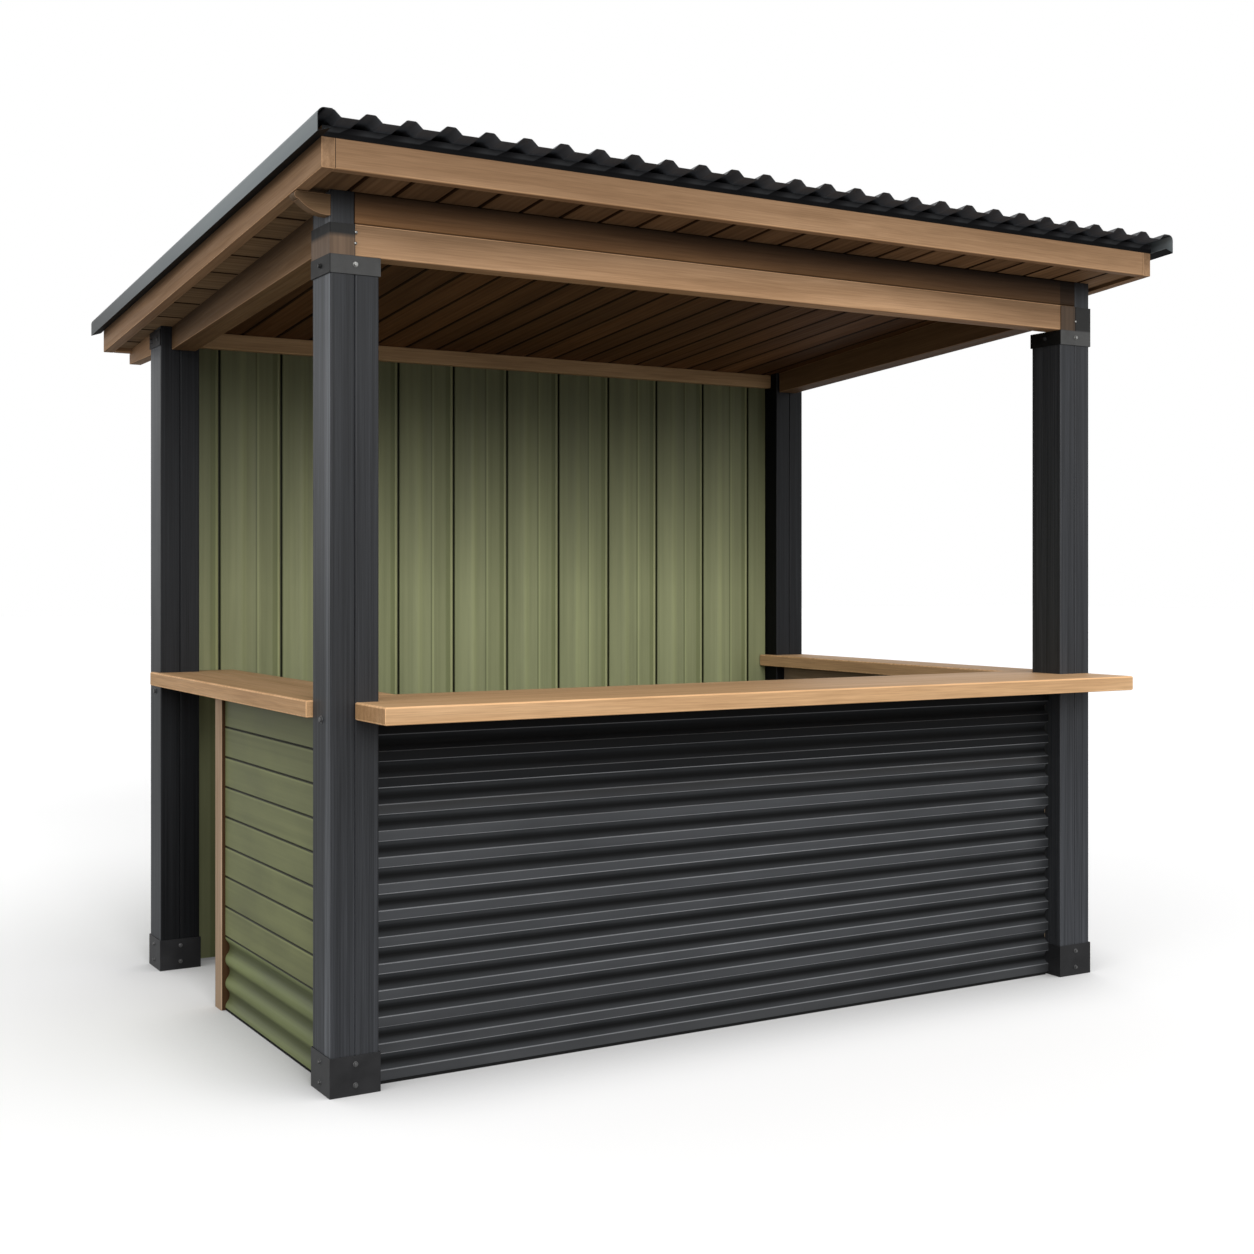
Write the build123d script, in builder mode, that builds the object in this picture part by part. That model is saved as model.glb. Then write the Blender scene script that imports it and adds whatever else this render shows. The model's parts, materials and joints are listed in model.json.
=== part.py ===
from build123d import *
import math
import os

os.makedirs("parts", exist_ok=True)

# Open garden bar with a mono-pitch roof, millimetres.
# X runs left to right along the serving front, Y from front to back, Z up.
# The origin is on the ground under the middle of the roof.

# Plan, outside face to outside face of the posts
bar_width = 2930
bar_depth = 1900

# Posts: two plies bolted side by side
ply_thickness = 72
timber_arris = 3

# Steel boots and head bands of the posts
boot_wall = 4
boot_base = 6
boot_height = 112
band_wall = 4
band_height = 52
plate_rise = 88
back_plate_height = 60

# Roof: ceiling line, slope and overhangs
roof_pitch = 4.9
ceiling_height = 2530
deck_thickness = 18
purlin_height = 82
purlin_width = 45
purlin_count = 5
front_overhang = 200
back_overhang = 315
side_overhang = 100
fascia_thickness = 38
fascia_drop = 12

# Roof sheet
sheet_gauge = 1.5
sheet_front_lip = 70
sheet_back_lip = 40
rib_count = 28
rib_height = 18
rib_base = 0.56
rib_crown = 0.22
rib_shoulder = 9
flashing_reach = 37
flashing_height = 52
flashing_roll = 20
flashing_gauge = 2
flashing_cover = 42
drip_height = 30
drip_gauge = 2

# Headers
header_thickness = 75
header_lower_height = 92
header_upper_height = 88
side_header_inset = 40
side_header_thickness = 90
side_header_front_depth = 126
side_header_back_depth = 86
back_header_thickness = 35
back_header_height = 57
tail_thickness = 45
tail_depth = 80
scroll_length = 104
scroll_thickness = 42
scroll_depth = 58
scroll_nose = 22
scroll_step = 12

# Counters
counter_top = 1100
counter_thickness = 50
counter_front_reach = 220
counter_front_inner = 250
counter_side_proud = 20
counter_left_depth = 320
counter_right_depth = 200
counter_right_stop = 10
counter_arris = 3

# Box-ribbed panels below the front and right counters
crest_pitch = 76
crest_flat = 26
crest_shoulder = 2.5
trough_depth = 20
panel_gauge = 1.5
front_panel_recess = 55
side_panel_recess = 36
panel_bottom = 10
boot_clearance = 2

# Left panel: round waves at the foot, grooved boards pressed above them
foot_waves = 3
foot_wave_height = 80
foot_wave_depth = 15
groove_count = 8
groove_width = 6
groove_depth = 4

# Jamb of the entry gap and the rails behind the panels
entry_width = 600
jamb_width = 70
jamb_thickness = 60
jamb_proud = 14
rail_height = 70
rail_thickness = 45

# Back wall: a sheet on each side of timber girts
wall_thickness = 64
wall_gauge = 1.5
wall_seam_pitch = 244
wall_seam_width = 9
wall_seam_floor = 6
wall_seam_depth = 10
wall_bead_width = 12
wall_bead_height = 4
wall_swage_foot = 40
wall_swage_crown = 18
wall_swage_height = 3
wall_swage_shares = (0.36, 0.64)
wall_bottom = 10
girt_height = 90
girt_count = 4

# Places worked out from the sizes above
slope = math.tan(math.radians(roof_pitch))
post_size = 2 * ply_thickness
half_width = bar_width / 2
header_bottom = ceiling_height - header_upper_height - header_lower_height
roof_run = sheet_front_lip + front_overhang + bar_depth + back_overhang + sheet_back_lip
sheet_front = -roof_run / 2
fascia_front = sheet_front + sheet_front_lip
post_front = fascia_front + front_overhang
post_back = post_front + bar_depth
fascia_back = post_back + back_overhang
sheet_back = fascia_back + sheet_back_lip
fascia_side = half_width + side_overhang
inner_face = half_width - post_size
sheet_reach = inner_face - boot_wall
counter_bottom = counter_top - counter_thickness
wall_front = post_back - wall_thickness
jamb_back = post_back - post_size - entry_width
jamb_front = jamb_back - jamb_width


def ceiling_at(y):
    """Height of the ceiling's underside at a distance y along the slope's plan."""
    return ceiling_height - (y - post_front) * slope


def deck_top_at(y):
    return ceiling_at(y) + deck_thickness


def sheet_under_at(y):
    return deck_top_at(y) + purlin_height


def save(piece, name):
    piece.part.label = name
    export_step(piece.part, f"parts/{name}.step")


def stick(x0, x1, y0, y1, z0, z1, run, arris=timber_arris):
    """A sawn stick whose long edges, along the run axis, are eased."""
    with BuildPart() as board:
        with BuildSketch(Plane.XY.offset(z0)):
            with Locations(((x0 + x1) / 2, (y0 + y1) / 2)):
                Rectangle(x1 - x0, y1 - y0)
        extrude(amount=z1 - z0)
        chamfer(board.edges().filter_by(run), arris)
    return board


def sloped_board(outline, x0, x1, run, arris=timber_arris):
    """A board whose side outline, in the YZ plane, follows the roof."""
    with BuildPart() as board:
        with BuildSketch(Plane.YZ.offset(x0)):
            with BuildLine():
                Polyline(*outline, close=True)
            make_face()
        extrude(amount=x1 - x0)
        if arris:
            chamfer(board.edges().filter_by(run), arris)
    return board


# Posts


def build_ply(x0, y0, to_ceiling):
    y1 = y0 + post_size
    front_top = ceiling_at(y0) if to_ceiling else header_bottom
    back_top = ceiling_at(y1) if to_ceiling else header_bottom
    outline = [(y0, boot_base), (y1, boot_base), (y1, back_top), (y0, front_top)]
    return sloped_board(outline, x0, x0 + ply_thickness, Axis.Z)


def build_boot(cx, cy):
    outer = post_size + 2 * boot_wall
    with BuildPart() as boot:
        with BuildSketch():
            with Locations((cx, cy)):
                Rectangle(outer, outer)
        extrude(amount=boot_height)
        fillet(boot.edges().filter_by(Axis.Z), boot_wall / 2)
        with BuildSketch(Plane.XY.offset(boot_base)):
            with Locations((cx, cy)):
                Rectangle(post_size, post_size)
        extrude(amount=boot_height - boot_base, mode=Mode.SUBTRACT)
    return boot


def build_front_band(side, plate_width):
    """Square band round a front post, with a plate rising over the header's end."""
    cx = side * (half_width - post_size / 2)
    cy = post_front + post_size / 2
    outer = post_size + 2 * band_wall
    plate_x = side * (half_width - (plate_width - band_wall) / 2)
    with BuildPart() as band:
        with BuildSketch(Plane.XY.offset(header_bottom - band_height)):
            with Locations((cx, cy)):
                Rectangle(outer, outer)
                Rectangle(post_size, post_size, mode=Mode.SUBTRACT)
        extrude(amount=band_height)
        with BuildSketch(Plane.XY.offset(header_bottom)):
            with Locations((plate_x, post_front - band_wall / 2)):
                Rectangle(plate_width + band_wall, band_wall)
            with Locations((side * (half_width + band_wall / 2), cy)):
                Rectangle(band_wall, post_size)
        extrude(amount=plate_rise)
    return band


def build_back_plate(side):
    """Flat plate on the outer face of a back post, at the side header's end."""
    x0 = min(side * half_width, side * (half_width + band_wall))
    top = ceiling_at(post_back)
    with BuildPart() as plate:
        with BuildSketch(Plane.YZ.offset(x0)):
            with Locations((post_back - post_size / 2, top - back_plate_height / 2)):
                Rectangle(post_size, back_plate_height)
        extrude(amount=band_wall)
    return plate


for side, side_name in ((-1, "left"), (1, "right")):
    for y0, row in ((post_front, "front"), (post_back - post_size, "back")):
        outer_x = min(side * half_width, side * (half_width - ply_thickness))
        inner_x = min(side * (half_width - ply_thickness), side * inner_face)
        save(build_ply(outer_x, y0, True), f"post_{row}_{side_name}_outer")
        save(build_ply(inner_x, y0, row == "back"), f"post_{row}_{side_name}_inner")
        boot = build_boot(side * (half_width - post_size / 2), y0 + post_size / 2)
        save(boot, f"boot_{row}_{side_name}")
    save(build_back_plate(side), f"head_plate_back_{side_name}")

save(build_front_band(-1, ply_thickness), "head_band_front_left")
save(build_front_band(1, post_size), "head_band_front_right")


# Headers

header_reach = half_width - ply_thickness
header_back_face = post_front + header_thickness
header_joint = header_bottom + header_lower_height

header_lower = stick(
    -header_reach, header_reach, post_front, header_back_face, header_bottom, header_joint, Axis.X
)
save(header_lower, "header_front_lower")

upper_outline = [
    (post_front, header_joint),
    (header_back_face, header_joint),
    (header_back_face, ceiling_at(header_back_face)),
    (post_front, ceiling_at(post_front)),
]
save(sloped_board(upper_outline, -header_reach, header_reach, Axis.X), "header_front_upper")


def build_side_header(side):
    """Tapered side header between a front and a back post."""
    y0 = post_front + post_size
    y1 = post_back - post_size
    outer = side * (half_width - side_header_inset)
    inner = side * (half_width - side_header_inset - side_header_thickness)
    outline = [
        (y0, ceiling_at(y0) - side_header_front_depth),
        (y1, ceiling_at(y1) - side_header_back_depth),
        (y1, ceiling_at(y1)),
        (y0, ceiling_at(y0)),
    ]
    with BuildPart() as header:
        with BuildSketch(Plane.YZ.offset(min(outer, inner))):
            with BuildLine():
                Polyline(*outline, close=True)
            make_face()
        extrude(amount=side_header_thickness)
        lower = header.faces().sort_by(Axis.Z)[0]
        chamfer(lower.edges().filter_by(Axis.X, reverse=True), timber_arris)
    return header


save(build_side_header(-1), "header_left")
save(build_side_header(1), "header_right")

back_header_face = wall_front - back_header_thickness
back_outline = [
    (back_header_face, ceiling_at(wall_front) - back_header_height),
    (wall_front, ceiling_at(wall_front) - back_header_height),
    (wall_front, ceiling_at(wall_front)),
    (back_header_face, ceiling_at(back_header_face)),
]
save(sloped_board(back_outline, -inner_face, inner_face, Axis.X), "header_back")


def build_back_tails():
    """Header ends that run on behind the back posts, notched round the fascia."""
    tail_bottom = ceiling_at(post_back) - tail_depth
    fascia_inner = fascia_back - fascia_thickness
    under_fascia = ceiling_at(fascia_back) - fascia_drop
    outline = [
        (post_back, tail_bottom),
        (fascia_back, tail_bottom),
        (fascia_back, under_fascia),
        (fascia_inner, under_fascia),
        (fascia_inner, ceiling_at(fascia_inner)),
        (post_back, ceiling_at(post_back)),
    ]
    with BuildPart() as tails:
        for x0 in (-half_width, half_width - tail_thickness):
            with BuildSketch(Plane.YZ.offset(x0)):
                with BuildLine():
                    Polyline(*outline, close=True)
                make_face()
            extrude(amount=tail_thickness)
    return tails


save(build_back_tails(), "header_tails_back")


def build_scroll_end():
    """Scroll-cut end of the upper header, outside the front left post."""
    top = ceiling_at(post_front + scroll_thickness) - fascia_drop
    root = -half_width
    tip = root - scroll_length
    nose_low = top - scroll_nose
    step_x = tip + scroll_step
    belly = ((step_x + root) / 2 - scroll_step, top - scroll_depth + scroll_nose / 2)
    with BuildPart() as scroll:
        with BuildSketch(Plane.XZ.offset(-post_front - scroll_thickness)):
            with BuildLine():
                Line((root, top), (tip + scroll_step / 2, top))
                ThreePointArc((tip + scroll_step / 2, top), (tip, top - scroll_nose / 2), (step_x, nose_low))
                ThreePointArc((step_x, nose_low), belly, (root, top - scroll_depth))
                Line((root, top - scroll_depth), (root, top))
            make_face()
        extrude(amount=scroll_thickness)
    return scroll


save(build_scroll_end(), "scroll_end_left")


# Roof carcass


def build_rake_board(side):
    """Sloping side fascia, whole length, with its ends cut plumb."""
    outline = [
        (fascia_front, ceiling_at(fascia_front) - fascia_drop),
        (fascia_back, ceiling_at(fascia_back) - fascia_drop),
        (fascia_back, sheet_under_at(fascia_back)),
        (fascia_front, sheet_under_at(fascia_front)),
    ]
    x0 = min(side * fascia_side, side * (fascia_side - fascia_thickness))
    with BuildPart() as board:
        with BuildSketch(Plane.YZ.offset(x0)):
            with BuildLine():
                Polyline(*outline, close=True)
            make_face()
        extrude(amount=fascia_thickness)
        lower = board.faces().sort_by(Axis.Z)[0]
        chamfer(lower.edges().filter_by(Axis.X, reverse=True), timber_arris)
    return board


save(build_rake_board(-1), "fascia_left")
save(build_rake_board(1), "fascia_right")


def build_cross_fascia(y0):
    """Front or back fascia, square below and bevelled to the sheet above."""
    y1 = y0 + fascia_thickness
    low = ceiling_at(y0 if y0 < 0 else y1) - fascia_drop
    outline = [(y0, low), (y1, low), (y1, sheet_under_at(y1)), (y0, sheet_under_at(y0))]
    reach = fascia_side - fascia_thickness
    return sloped_board(outline, -reach, reach, Axis.X)


save(build_cross_fascia(fascia_front), "fascia_front")
save(build_cross_fascia(fascia_back - fascia_thickness), "fascia_back")

deck_y0 = fascia_front + fascia_thickness
deck_y1 = fascia_back - fascia_thickness
deck_reach = fascia_side - fascia_thickness
deck_outline = [
    (deck_y0, ceiling_at(deck_y0)),
    (deck_y1, ceiling_at(deck_y1)),
    (deck_y1, deck_top_at(deck_y1)),
    (deck_y0, deck_top_at(deck_y0)),
]
save(sloped_board(deck_outline, -deck_reach, deck_reach, Axis.X, 0), "ceiling_deck")


def build_purlins():
    """Cross battens between the deck and the roof sheet."""
    spacing = (deck_y1 - deck_y0 - purlin_width) / (purlin_count - 1)
    with BuildPart() as purlins:
        for i in range(purlin_count):
            y0 = deck_y0 + i * spacing
            y1 = y0 + purlin_width
            outline = [
                (y0, deck_top_at(y0)),
                (y1, deck_top_at(y1)),
                (y1, sheet_under_at(y1)),
                (y0, sheet_under_at(y0)),
            ]
            with BuildSketch(Plane.YZ.offset(-deck_reach)):
                with BuildLine():
                    Polyline(*outline, close=True)
                make_face()
            extrude(amount=2 * deck_reach)
    return purlins


save(build_purlins(), "roof_purlins")

# Roof covering

downhill = (0, 1, -slope)
half_root = math.sqrt(0.5)
sheet_half = fascia_side + flashing_reach - flashing_roll
rib_pitch = 2 * sheet_half / (rib_count - 1 + rib_crown)


def rib_corners(base_z):
    """Trapezoid ribs across the roof, the first and last ending on a crown."""
    foot = rib_base * rib_pitch / 2
    crown = rib_crown * rib_pitch / 2
    corners = []
    for i in range(rib_count):
        centre = -sheet_half + crown + i * rib_pitch
        if i > 0:
            corners.append((centre - foot, base_z))
        corners.append((centre - crown, base_z + rib_height))
        corners.append((centre + crown, base_z + rib_height))
        if i < rib_count - 1:
            corners.append((centre + foot, base_z))
    return corners


def build_roof_sheet():
    """Ribbed sheet in one piece, its crowns rounded at the shoulders."""
    base_z = sheet_under_at(sheet_front)
    corners = rib_corners(base_z)
    bends = [rib_shoulder if z > base_z else 0 for x, z in corners[1:-1]]
    with BuildPart() as sheet:
        with BuildSketch(Plane.XZ.offset(-sheet_front)):
            with BuildLine():
                FilletPolyline(*corners, radius=bends)
                offset(amount=sheet_gauge, kind=Kind.INTERSECTION, side=Side.LEFT)
            make_face()
        extrude(amount=roof_run / math.cos(math.radians(roof_pitch)), dir=downhill)
    return sheet


save(build_roof_sheet(), "roof_sheet")


def build_rake_flashing(side):
    """Channel that closes the side of the roof sheet, from end to end."""
    outer = side * (fascia_side + flashing_reach)
    roll = outer - side * flashing_roll
    fascia = side * fascia_side
    cover = side * (fascia_side + flashing_reach - flashing_cover)
    top = sheet_under_at(sheet_front) + sheet_gauge + rib_height + flashing_gauge
    low = top - flashing_height
    roll_mid = (roll + side * flashing_roll * half_root, top - flashing_roll * (1 - half_root))
    turn = Side.RIGHT if side < 0 else Side.LEFT
    with BuildPart() as flashing:
        with BuildSketch(Plane.XZ.offset(-sheet_front)):
            with BuildLine():
                Line((fascia, low), (outer, low))
                Line((outer, low), (outer, top - flashing_roll))
                ThreePointArc((outer, top - flashing_roll), roll_mid, (roll, top))
                Line((roll, top), (cover, top))
                offset(amount=flashing_gauge, kind=Kind.INTERSECTION, side=turn)
            make_face()
        extrude(amount=roof_run / math.cos(math.radians(roof_pitch)), dir=downhill)
    return flashing


save(build_rake_flashing(-1), "flashing_left")
save(build_rake_flashing(1), "flashing_right")


def build_drip_strip():
    """Folded strip on the face of the front fascia, under the sheet's lip."""
    top = sheet_under_at(fascia_front)
    outer = fascia_front - drip_gauge
    with BuildPart() as strip:
        with BuildSketch(Plane.YZ.offset(-fascia_side)):
            with BuildLine():
                Polyline(
                    (outer, top - drip_height),
                    (fascia_front, top - drip_height),
                    (fascia_front, top),
                    (outer, top),
                    close=True,
                )
            make_face()
        extrude(amount=2 * fascia_side)
    return strip


save(build_drip_strip(), "drip_front")


# Counters


def build_counter(outline):
    """Thick slab with eased top and bottom edges."""
    with BuildPart() as slab:
        with BuildSketch(Plane.XY.offset(counter_bottom)):
            with BuildLine():
                Polyline(*outline, close=True)
            make_face()
        extrude(amount=counter_thickness)
        chamfer(slab.faces().sort_by(Axis.Z)[-1].edges(), counter_arris)
        chamfer(slab.faces().sort_by(Axis.Z)[0].edges(), counter_arris)
    return slab


front_edge = post_front - counter_front_reach
inner_edge = post_front + counter_front_inner
left_outer = -half_width - counter_side_proud
left_inner = left_outer + counter_left_depth
right_outer = half_width + counter_side_proud
right_inner = right_outer - counter_right_depth
back_post_front = post_back - post_size
front_post_back = post_front + post_size

save(
    build_counter([
        (-half_width + post_size / 2, front_edge),
        (half_width - counter_right_stop, front_edge),
        (half_width - counter_right_stop, post_front),
        (inner_face, post_front),
        (inner_face, front_post_back),
        (right_outer, front_post_back),
        (right_outer, inner_edge),
        (-inner_face, inner_edge),
        (-inner_face, post_front),
        (-half_width + post_size / 2, post_front),
    ]),
    "counter_front",
)

save(
    build_counter([
        (left_outer, front_post_back),
        (-inner_face, front_post_back),
        (-inner_face, inner_edge),
        (left_inner, inner_edge),
        (left_inner, wall_front),
        (-inner_face, wall_front),
        (-inner_face, back_post_front),
        (-half_width, back_post_front),
        (-half_width, post_back - post_size / 2),
        (left_outer, post_back - post_size / 2),
    ]),
    "counter_left",
)

save(
    build_counter([
        (right_inner, inner_edge),
        (right_outer, inner_edge),
        (right_outer, post_back - post_size / 2),
        (half_width, post_back - post_size / 2),
        (half_width, back_post_front),
        (inner_face, back_post_front),
        (inner_face, wall_front),
        (right_inner, wall_front),
    ]),
    "counter_right",
)


# Panels below the counters


def box_ribbed(plane, length):
    """Sheet with flat crests in the plane and round troughs between them."""
    hem = crest_flat + crest_shoulder
    count = int((counter_bottom - panel_bottom - hem) // crest_pitch)
    with BuildPart() as sheet:
        with BuildSketch(plane):
            with BuildLine():
                z = panel_bottom
                for i in range(count):
                    low = panel_bottom + hem + i * crest_pitch
                    high = low + crest_pitch - crest_flat
                    near = (-crest_shoulder, low + crest_shoulder)
                    far = (-crest_shoulder, high - crest_shoulder)
                    Polyline((0, z), (0, low), near)
                    ThreePointArc(near, (-trough_depth, (low + high) / 2), far)
                    Line(far, (0, high))
                    z = high
                Line((0, z), (0, counter_bottom))
                offset(amount=panel_gauge, kind=Kind.INTERSECTION, side=Side.LEFT)
            make_face()
        extrude(amount=length)
    return sheet


def grooved(plane, length):
    """Sheet with round waves at its foot and flat boards with V grooves above."""
    quarter = foot_wave_height / 4
    sag = foot_wave_depth / 2
    waves_top = panel_bottom + foot_waves * foot_wave_height
    board = (counter_bottom - waves_top) / groove_count
    lip = groove_width / 2
    with BuildPart() as sheet:
        with BuildSketch(plane):
            with BuildLine():
                TangentArc((0, panel_bottom), (-sag, panel_bottom + quarter), tangent=(0, 1))
                for i in range(foot_waves):
                    z = panel_bottom + i * foot_wave_height
                    start = (-sag, z + quarter)
                    end = (-sag, z + 3 * quarter)
                    ThreePointArc(start, (-foot_wave_depth, z + 2 * quarter), end)
                    if i < foot_waves - 1:
                        ThreePointArc(end, (0, z + 4 * quarter), (-sag, z + 5 * quarter))
                z = waves_top - lip
                TangentArc((0, z), end, tangent=(0, -1))
                for i in range(groove_count):
                    centre = waves_top + i * board
                    top = centre + board if i == groove_count - 1 else centre + board - lip
                    Polyline((0, z), (-groove_depth, centre), (0, centre + lip), (0, top))
                    z = top
                offset(amount=panel_gauge, kind=Kind.INTERSECTION, side=Side.LEFT)
            make_face()
        extrude(amount=length)
    return sheet


low_rail = boot_height + boot_clearance + rail_height / 2
top_rail = counter_bottom - rail_height / 2
rail_levels = [low_rail, (low_rail + top_rail) / 2, top_rail]

side_sheet_front = front_post_back + boot_wall
side_sheet_back = back_post_front - boot_wall

front_panel_plane = Plane(
    origin=(sheet_reach, post_front + front_panel_recess, 0), x_dir=(0, -1, 0), z_dir=(-1, 0, 0)
)
save(box_ribbed(front_panel_plane, 2 * sheet_reach), "panel_front")

left_panel_plane = Plane(
    origin=(-half_width + side_panel_recess, side_sheet_front, 0), x_dir=(-1, 0, 0), z_dir=(0, 1, 0)
)
save(grooved(left_panel_plane, jamb_front - side_sheet_front), "panel_left")

right_panel_plane = Plane(
    origin=(half_width - side_panel_recess, side_sheet_back, 0), x_dir=(1, 0, 0), z_dir=(0, -1, 0)
)
save(box_ribbed(right_panel_plane, side_sheet_back - side_sheet_front), "panel_right")

jamb_outer = -half_width + side_panel_recess - jamb_proud
jamb_left = stick(
    jamb_outer, jamb_outer + jamb_thickness, jamb_front, jamb_back, 0, counter_bottom, Axis.Z
)
save(jamb_left, "jamb_left")


def build_front_rails():
    y0 = post_front + front_panel_recess + trough_depth + panel_gauge
    with BuildPart() as rails:
        with BuildSketch(Plane.YZ.offset(-inner_face)):
            for level in rail_levels:
                with Locations((y0 + rail_thickness / 2, level)):
                    Rectangle(rail_thickness, rail_height)
        extrude(amount=2 * inner_face)
    return rails


def build_side_rails():
    """Rails behind the left and right panels, three to a side."""
    behind = half_width - side_panel_recess - panel_gauge - rail_thickness / 2
    left = -behind + foot_wave_depth
    right = behind - trough_depth
    with BuildPart() as rails:
        for x, y_end in ((left, jamb_front), (right, back_post_front)):
            with BuildSketch(Plane.XZ.offset(-y_end)):
                for level in rail_levels:
                    with Locations((x, level)):
                        Rectangle(rail_thickness, rail_height)
            extrude(amount=y_end - front_post_back)
    return rails


save(build_front_rails(), "rails_front")
save(build_side_rails(), "rails_sides")

# Back wall


def wall_line(face, y):
    """Wall profile from post to post: narrow seams, each with a bead beside it."""
    edge = wall_seam_width / 2
    floor = wall_seam_floor / 2
    seam_y = y - face * wall_seam_depth
    points = [(-sheet_reach, y)]
    count = int((sheet_reach - wall_seam_pitch / 4) // wall_seam_pitch)
    for i in range(-count - 1, count + 1):
        left = i * wall_seam_pitch
        for share in wall_swage_shares:
            centre = left + share * wall_seam_pitch
            if abs(centre) + wall_swage_foot / 2 < sheet_reach:
                points.append((centre - wall_swage_foot / 2, y))
                points.append((centre - wall_swage_crown / 2, y + face * wall_swage_height))
                points.append((centre + wall_swage_crown / 2, y + face * wall_swage_height))
                points.append((centre + wall_swage_foot / 2, y))
        if i < count:
            seam = left + wall_seam_pitch
            points.append((seam - edge - wall_bead_width, y))
            points.append((seam - edge - wall_bead_width / 2, y + face * wall_bead_height))
            points.append((seam - edge, y))
            points.append((seam - floor, seam_y))
            points.append((seam + floor, seam_y))
            points.append((seam + edge, y))
    points.append((sheet_reach, y))
    return points


def build_wall_sheet(face, y, top):
    """Seamed sheet whose pan lies at y and whose beads stand towards face."""
    turn = Side.LEFT if face < 0 else Side.RIGHT
    with BuildPart() as sheet:
        with BuildSketch(Plane.XY.offset(wall_bottom)):
            with BuildLine():
                Polyline(*wall_line(face, y))
                offset(amount=wall_gauge, kind=Kind.INTERSECTION, side=turn)
            make_face()
        extrude(amount=top - wall_bottom)
    return sheet


seam_fold = wall_seam_depth + wall_gauge
pan_inner = wall_front + wall_bead_height
pan_outer = post_back - wall_bead_height
save(build_wall_sheet(-1, pan_inner, ceiling_at(pan_inner + seam_fold)), "wall_sheet_inner")
save(build_wall_sheet(1, pan_outer, ceiling_at(post_back)), "wall_sheet_outer")


def build_girts():
    """Timber girts between the two wall sheets, from post to post."""
    y0 = pan_inner + seam_fold
    y1 = pan_outer - seam_fold
    low = boot_height + boot_clearance + girt_height / 2
    top = ceiling_at(y1) - girt_height / 2
    spacing = (top - low) / (girt_count - 1)
    with BuildPart() as girts:
        with BuildSketch(Plane.YZ.offset(-inner_face)):
            for i in range(girt_count):
                with Locations(((y0 + y1) / 2, low + i * spacing)):
                    Rectangle(y1 - y0, girt_height)
        extrude(amount=2 * inner_face)
    return girts


save(build_girts(), "wall_girts")
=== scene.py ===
import json
import math
import random

import bpy
from mathutils import Matrix, Vector


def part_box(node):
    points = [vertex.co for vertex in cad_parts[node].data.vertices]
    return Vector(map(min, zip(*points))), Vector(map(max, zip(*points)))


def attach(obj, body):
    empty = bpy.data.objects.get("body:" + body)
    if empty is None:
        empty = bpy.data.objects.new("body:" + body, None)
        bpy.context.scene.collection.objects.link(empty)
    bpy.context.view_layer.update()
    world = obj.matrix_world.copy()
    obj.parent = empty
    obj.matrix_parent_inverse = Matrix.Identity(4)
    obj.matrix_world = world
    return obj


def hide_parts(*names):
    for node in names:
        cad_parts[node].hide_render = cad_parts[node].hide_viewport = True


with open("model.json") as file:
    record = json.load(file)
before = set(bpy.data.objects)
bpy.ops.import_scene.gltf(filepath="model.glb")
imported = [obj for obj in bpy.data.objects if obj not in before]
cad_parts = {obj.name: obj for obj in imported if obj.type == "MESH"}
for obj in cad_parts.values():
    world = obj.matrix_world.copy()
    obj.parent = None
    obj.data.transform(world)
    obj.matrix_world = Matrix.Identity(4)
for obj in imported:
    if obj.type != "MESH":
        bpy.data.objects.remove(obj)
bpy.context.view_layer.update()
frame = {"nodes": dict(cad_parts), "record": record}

random.seed(7)

SLOT_OF = {row["node"]: row["material_slot"] for row in frame["record"]["subparts"]}
ROOF_PITCH = math.radians(4.9)
SLOPE = math.tan(ROOF_PITCH)


# Working tools


def deselect():
    """Leaves edit mode, with nothing selected."""
    if bpy.context.object and bpy.context.object.mode != "OBJECT":
        bpy.ops.object.mode_set(mode="OBJECT")
    bpy.ops.object.select_all(action="DESELECT")


def pick(piece):
    """Selects one piece alone and makes it the active one."""
    deselect()
    piece.select_set(True)
    bpy.context.view_layer.objects.active = piece


def edit(piece, mode="EDGE"):
    """Opens a piece in edit mode with nothing selected."""
    pick(piece)
    bpy.ops.object.mode_set(mode="EDIT")
    bpy.ops.mesh.select_mode(type=mode)
    bpy.ops.mesh.select_all(action="DESELECT")


def choose_faces(piece, test):
    """Selects the faces whose centre and normal pass the test, in edit mode."""
    bpy.ops.object.mode_set(mode="OBJECT")
    for face in piece.data.polygons:
        face.select = test(face.center, face.normal)
    bpy.ops.object.mode_set(mode="EDIT")


def choose_points(piece, test):
    """Selects the points whose place passes the test, in edit mode."""
    bpy.ops.object.mode_set(mode="OBJECT")
    for point in piece.data.vertices:
        point.select = test(point.co)
    bpy.ops.object.mode_set(mode="EDIT")


def choose_edges(piece, test):
    """Selects the edges whose two ends pass the test, in edit mode."""
    bpy.ops.object.mode_set(mode="OBJECT")
    points = piece.data.vertices
    for edge in piece.data.edges:
        a, b = (points[i].co for i in edge.vertices)
        edge.select = test(a, b)
    bpy.ops.object.mode_set(mode="EDIT")


def block(name, low, high):
    """A primitive cube set between two corners, ready to be shaped."""
    deselect()
    low, high = Vector(low), Vector(high)
    bpy.ops.mesh.primitive_cube_add(size=1, location=(low + high) / 2, scale=high - low)
    piece = bpy.context.object
    piece.name = name
    settle(piece)
    return piece


def settle(piece):
    """Puts a piece's place, turn and size into its mesh."""
    pick(piece)
    bpy.ops.object.transform_apply(location=True, rotation=True, scale=True)


def coat(piece, *finishes):
    """Gives a piece its finishes, with the first of them all over."""
    piece.data.materials.clear()
    for finish in finishes:
        piece.data.materials.append(finish)


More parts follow.
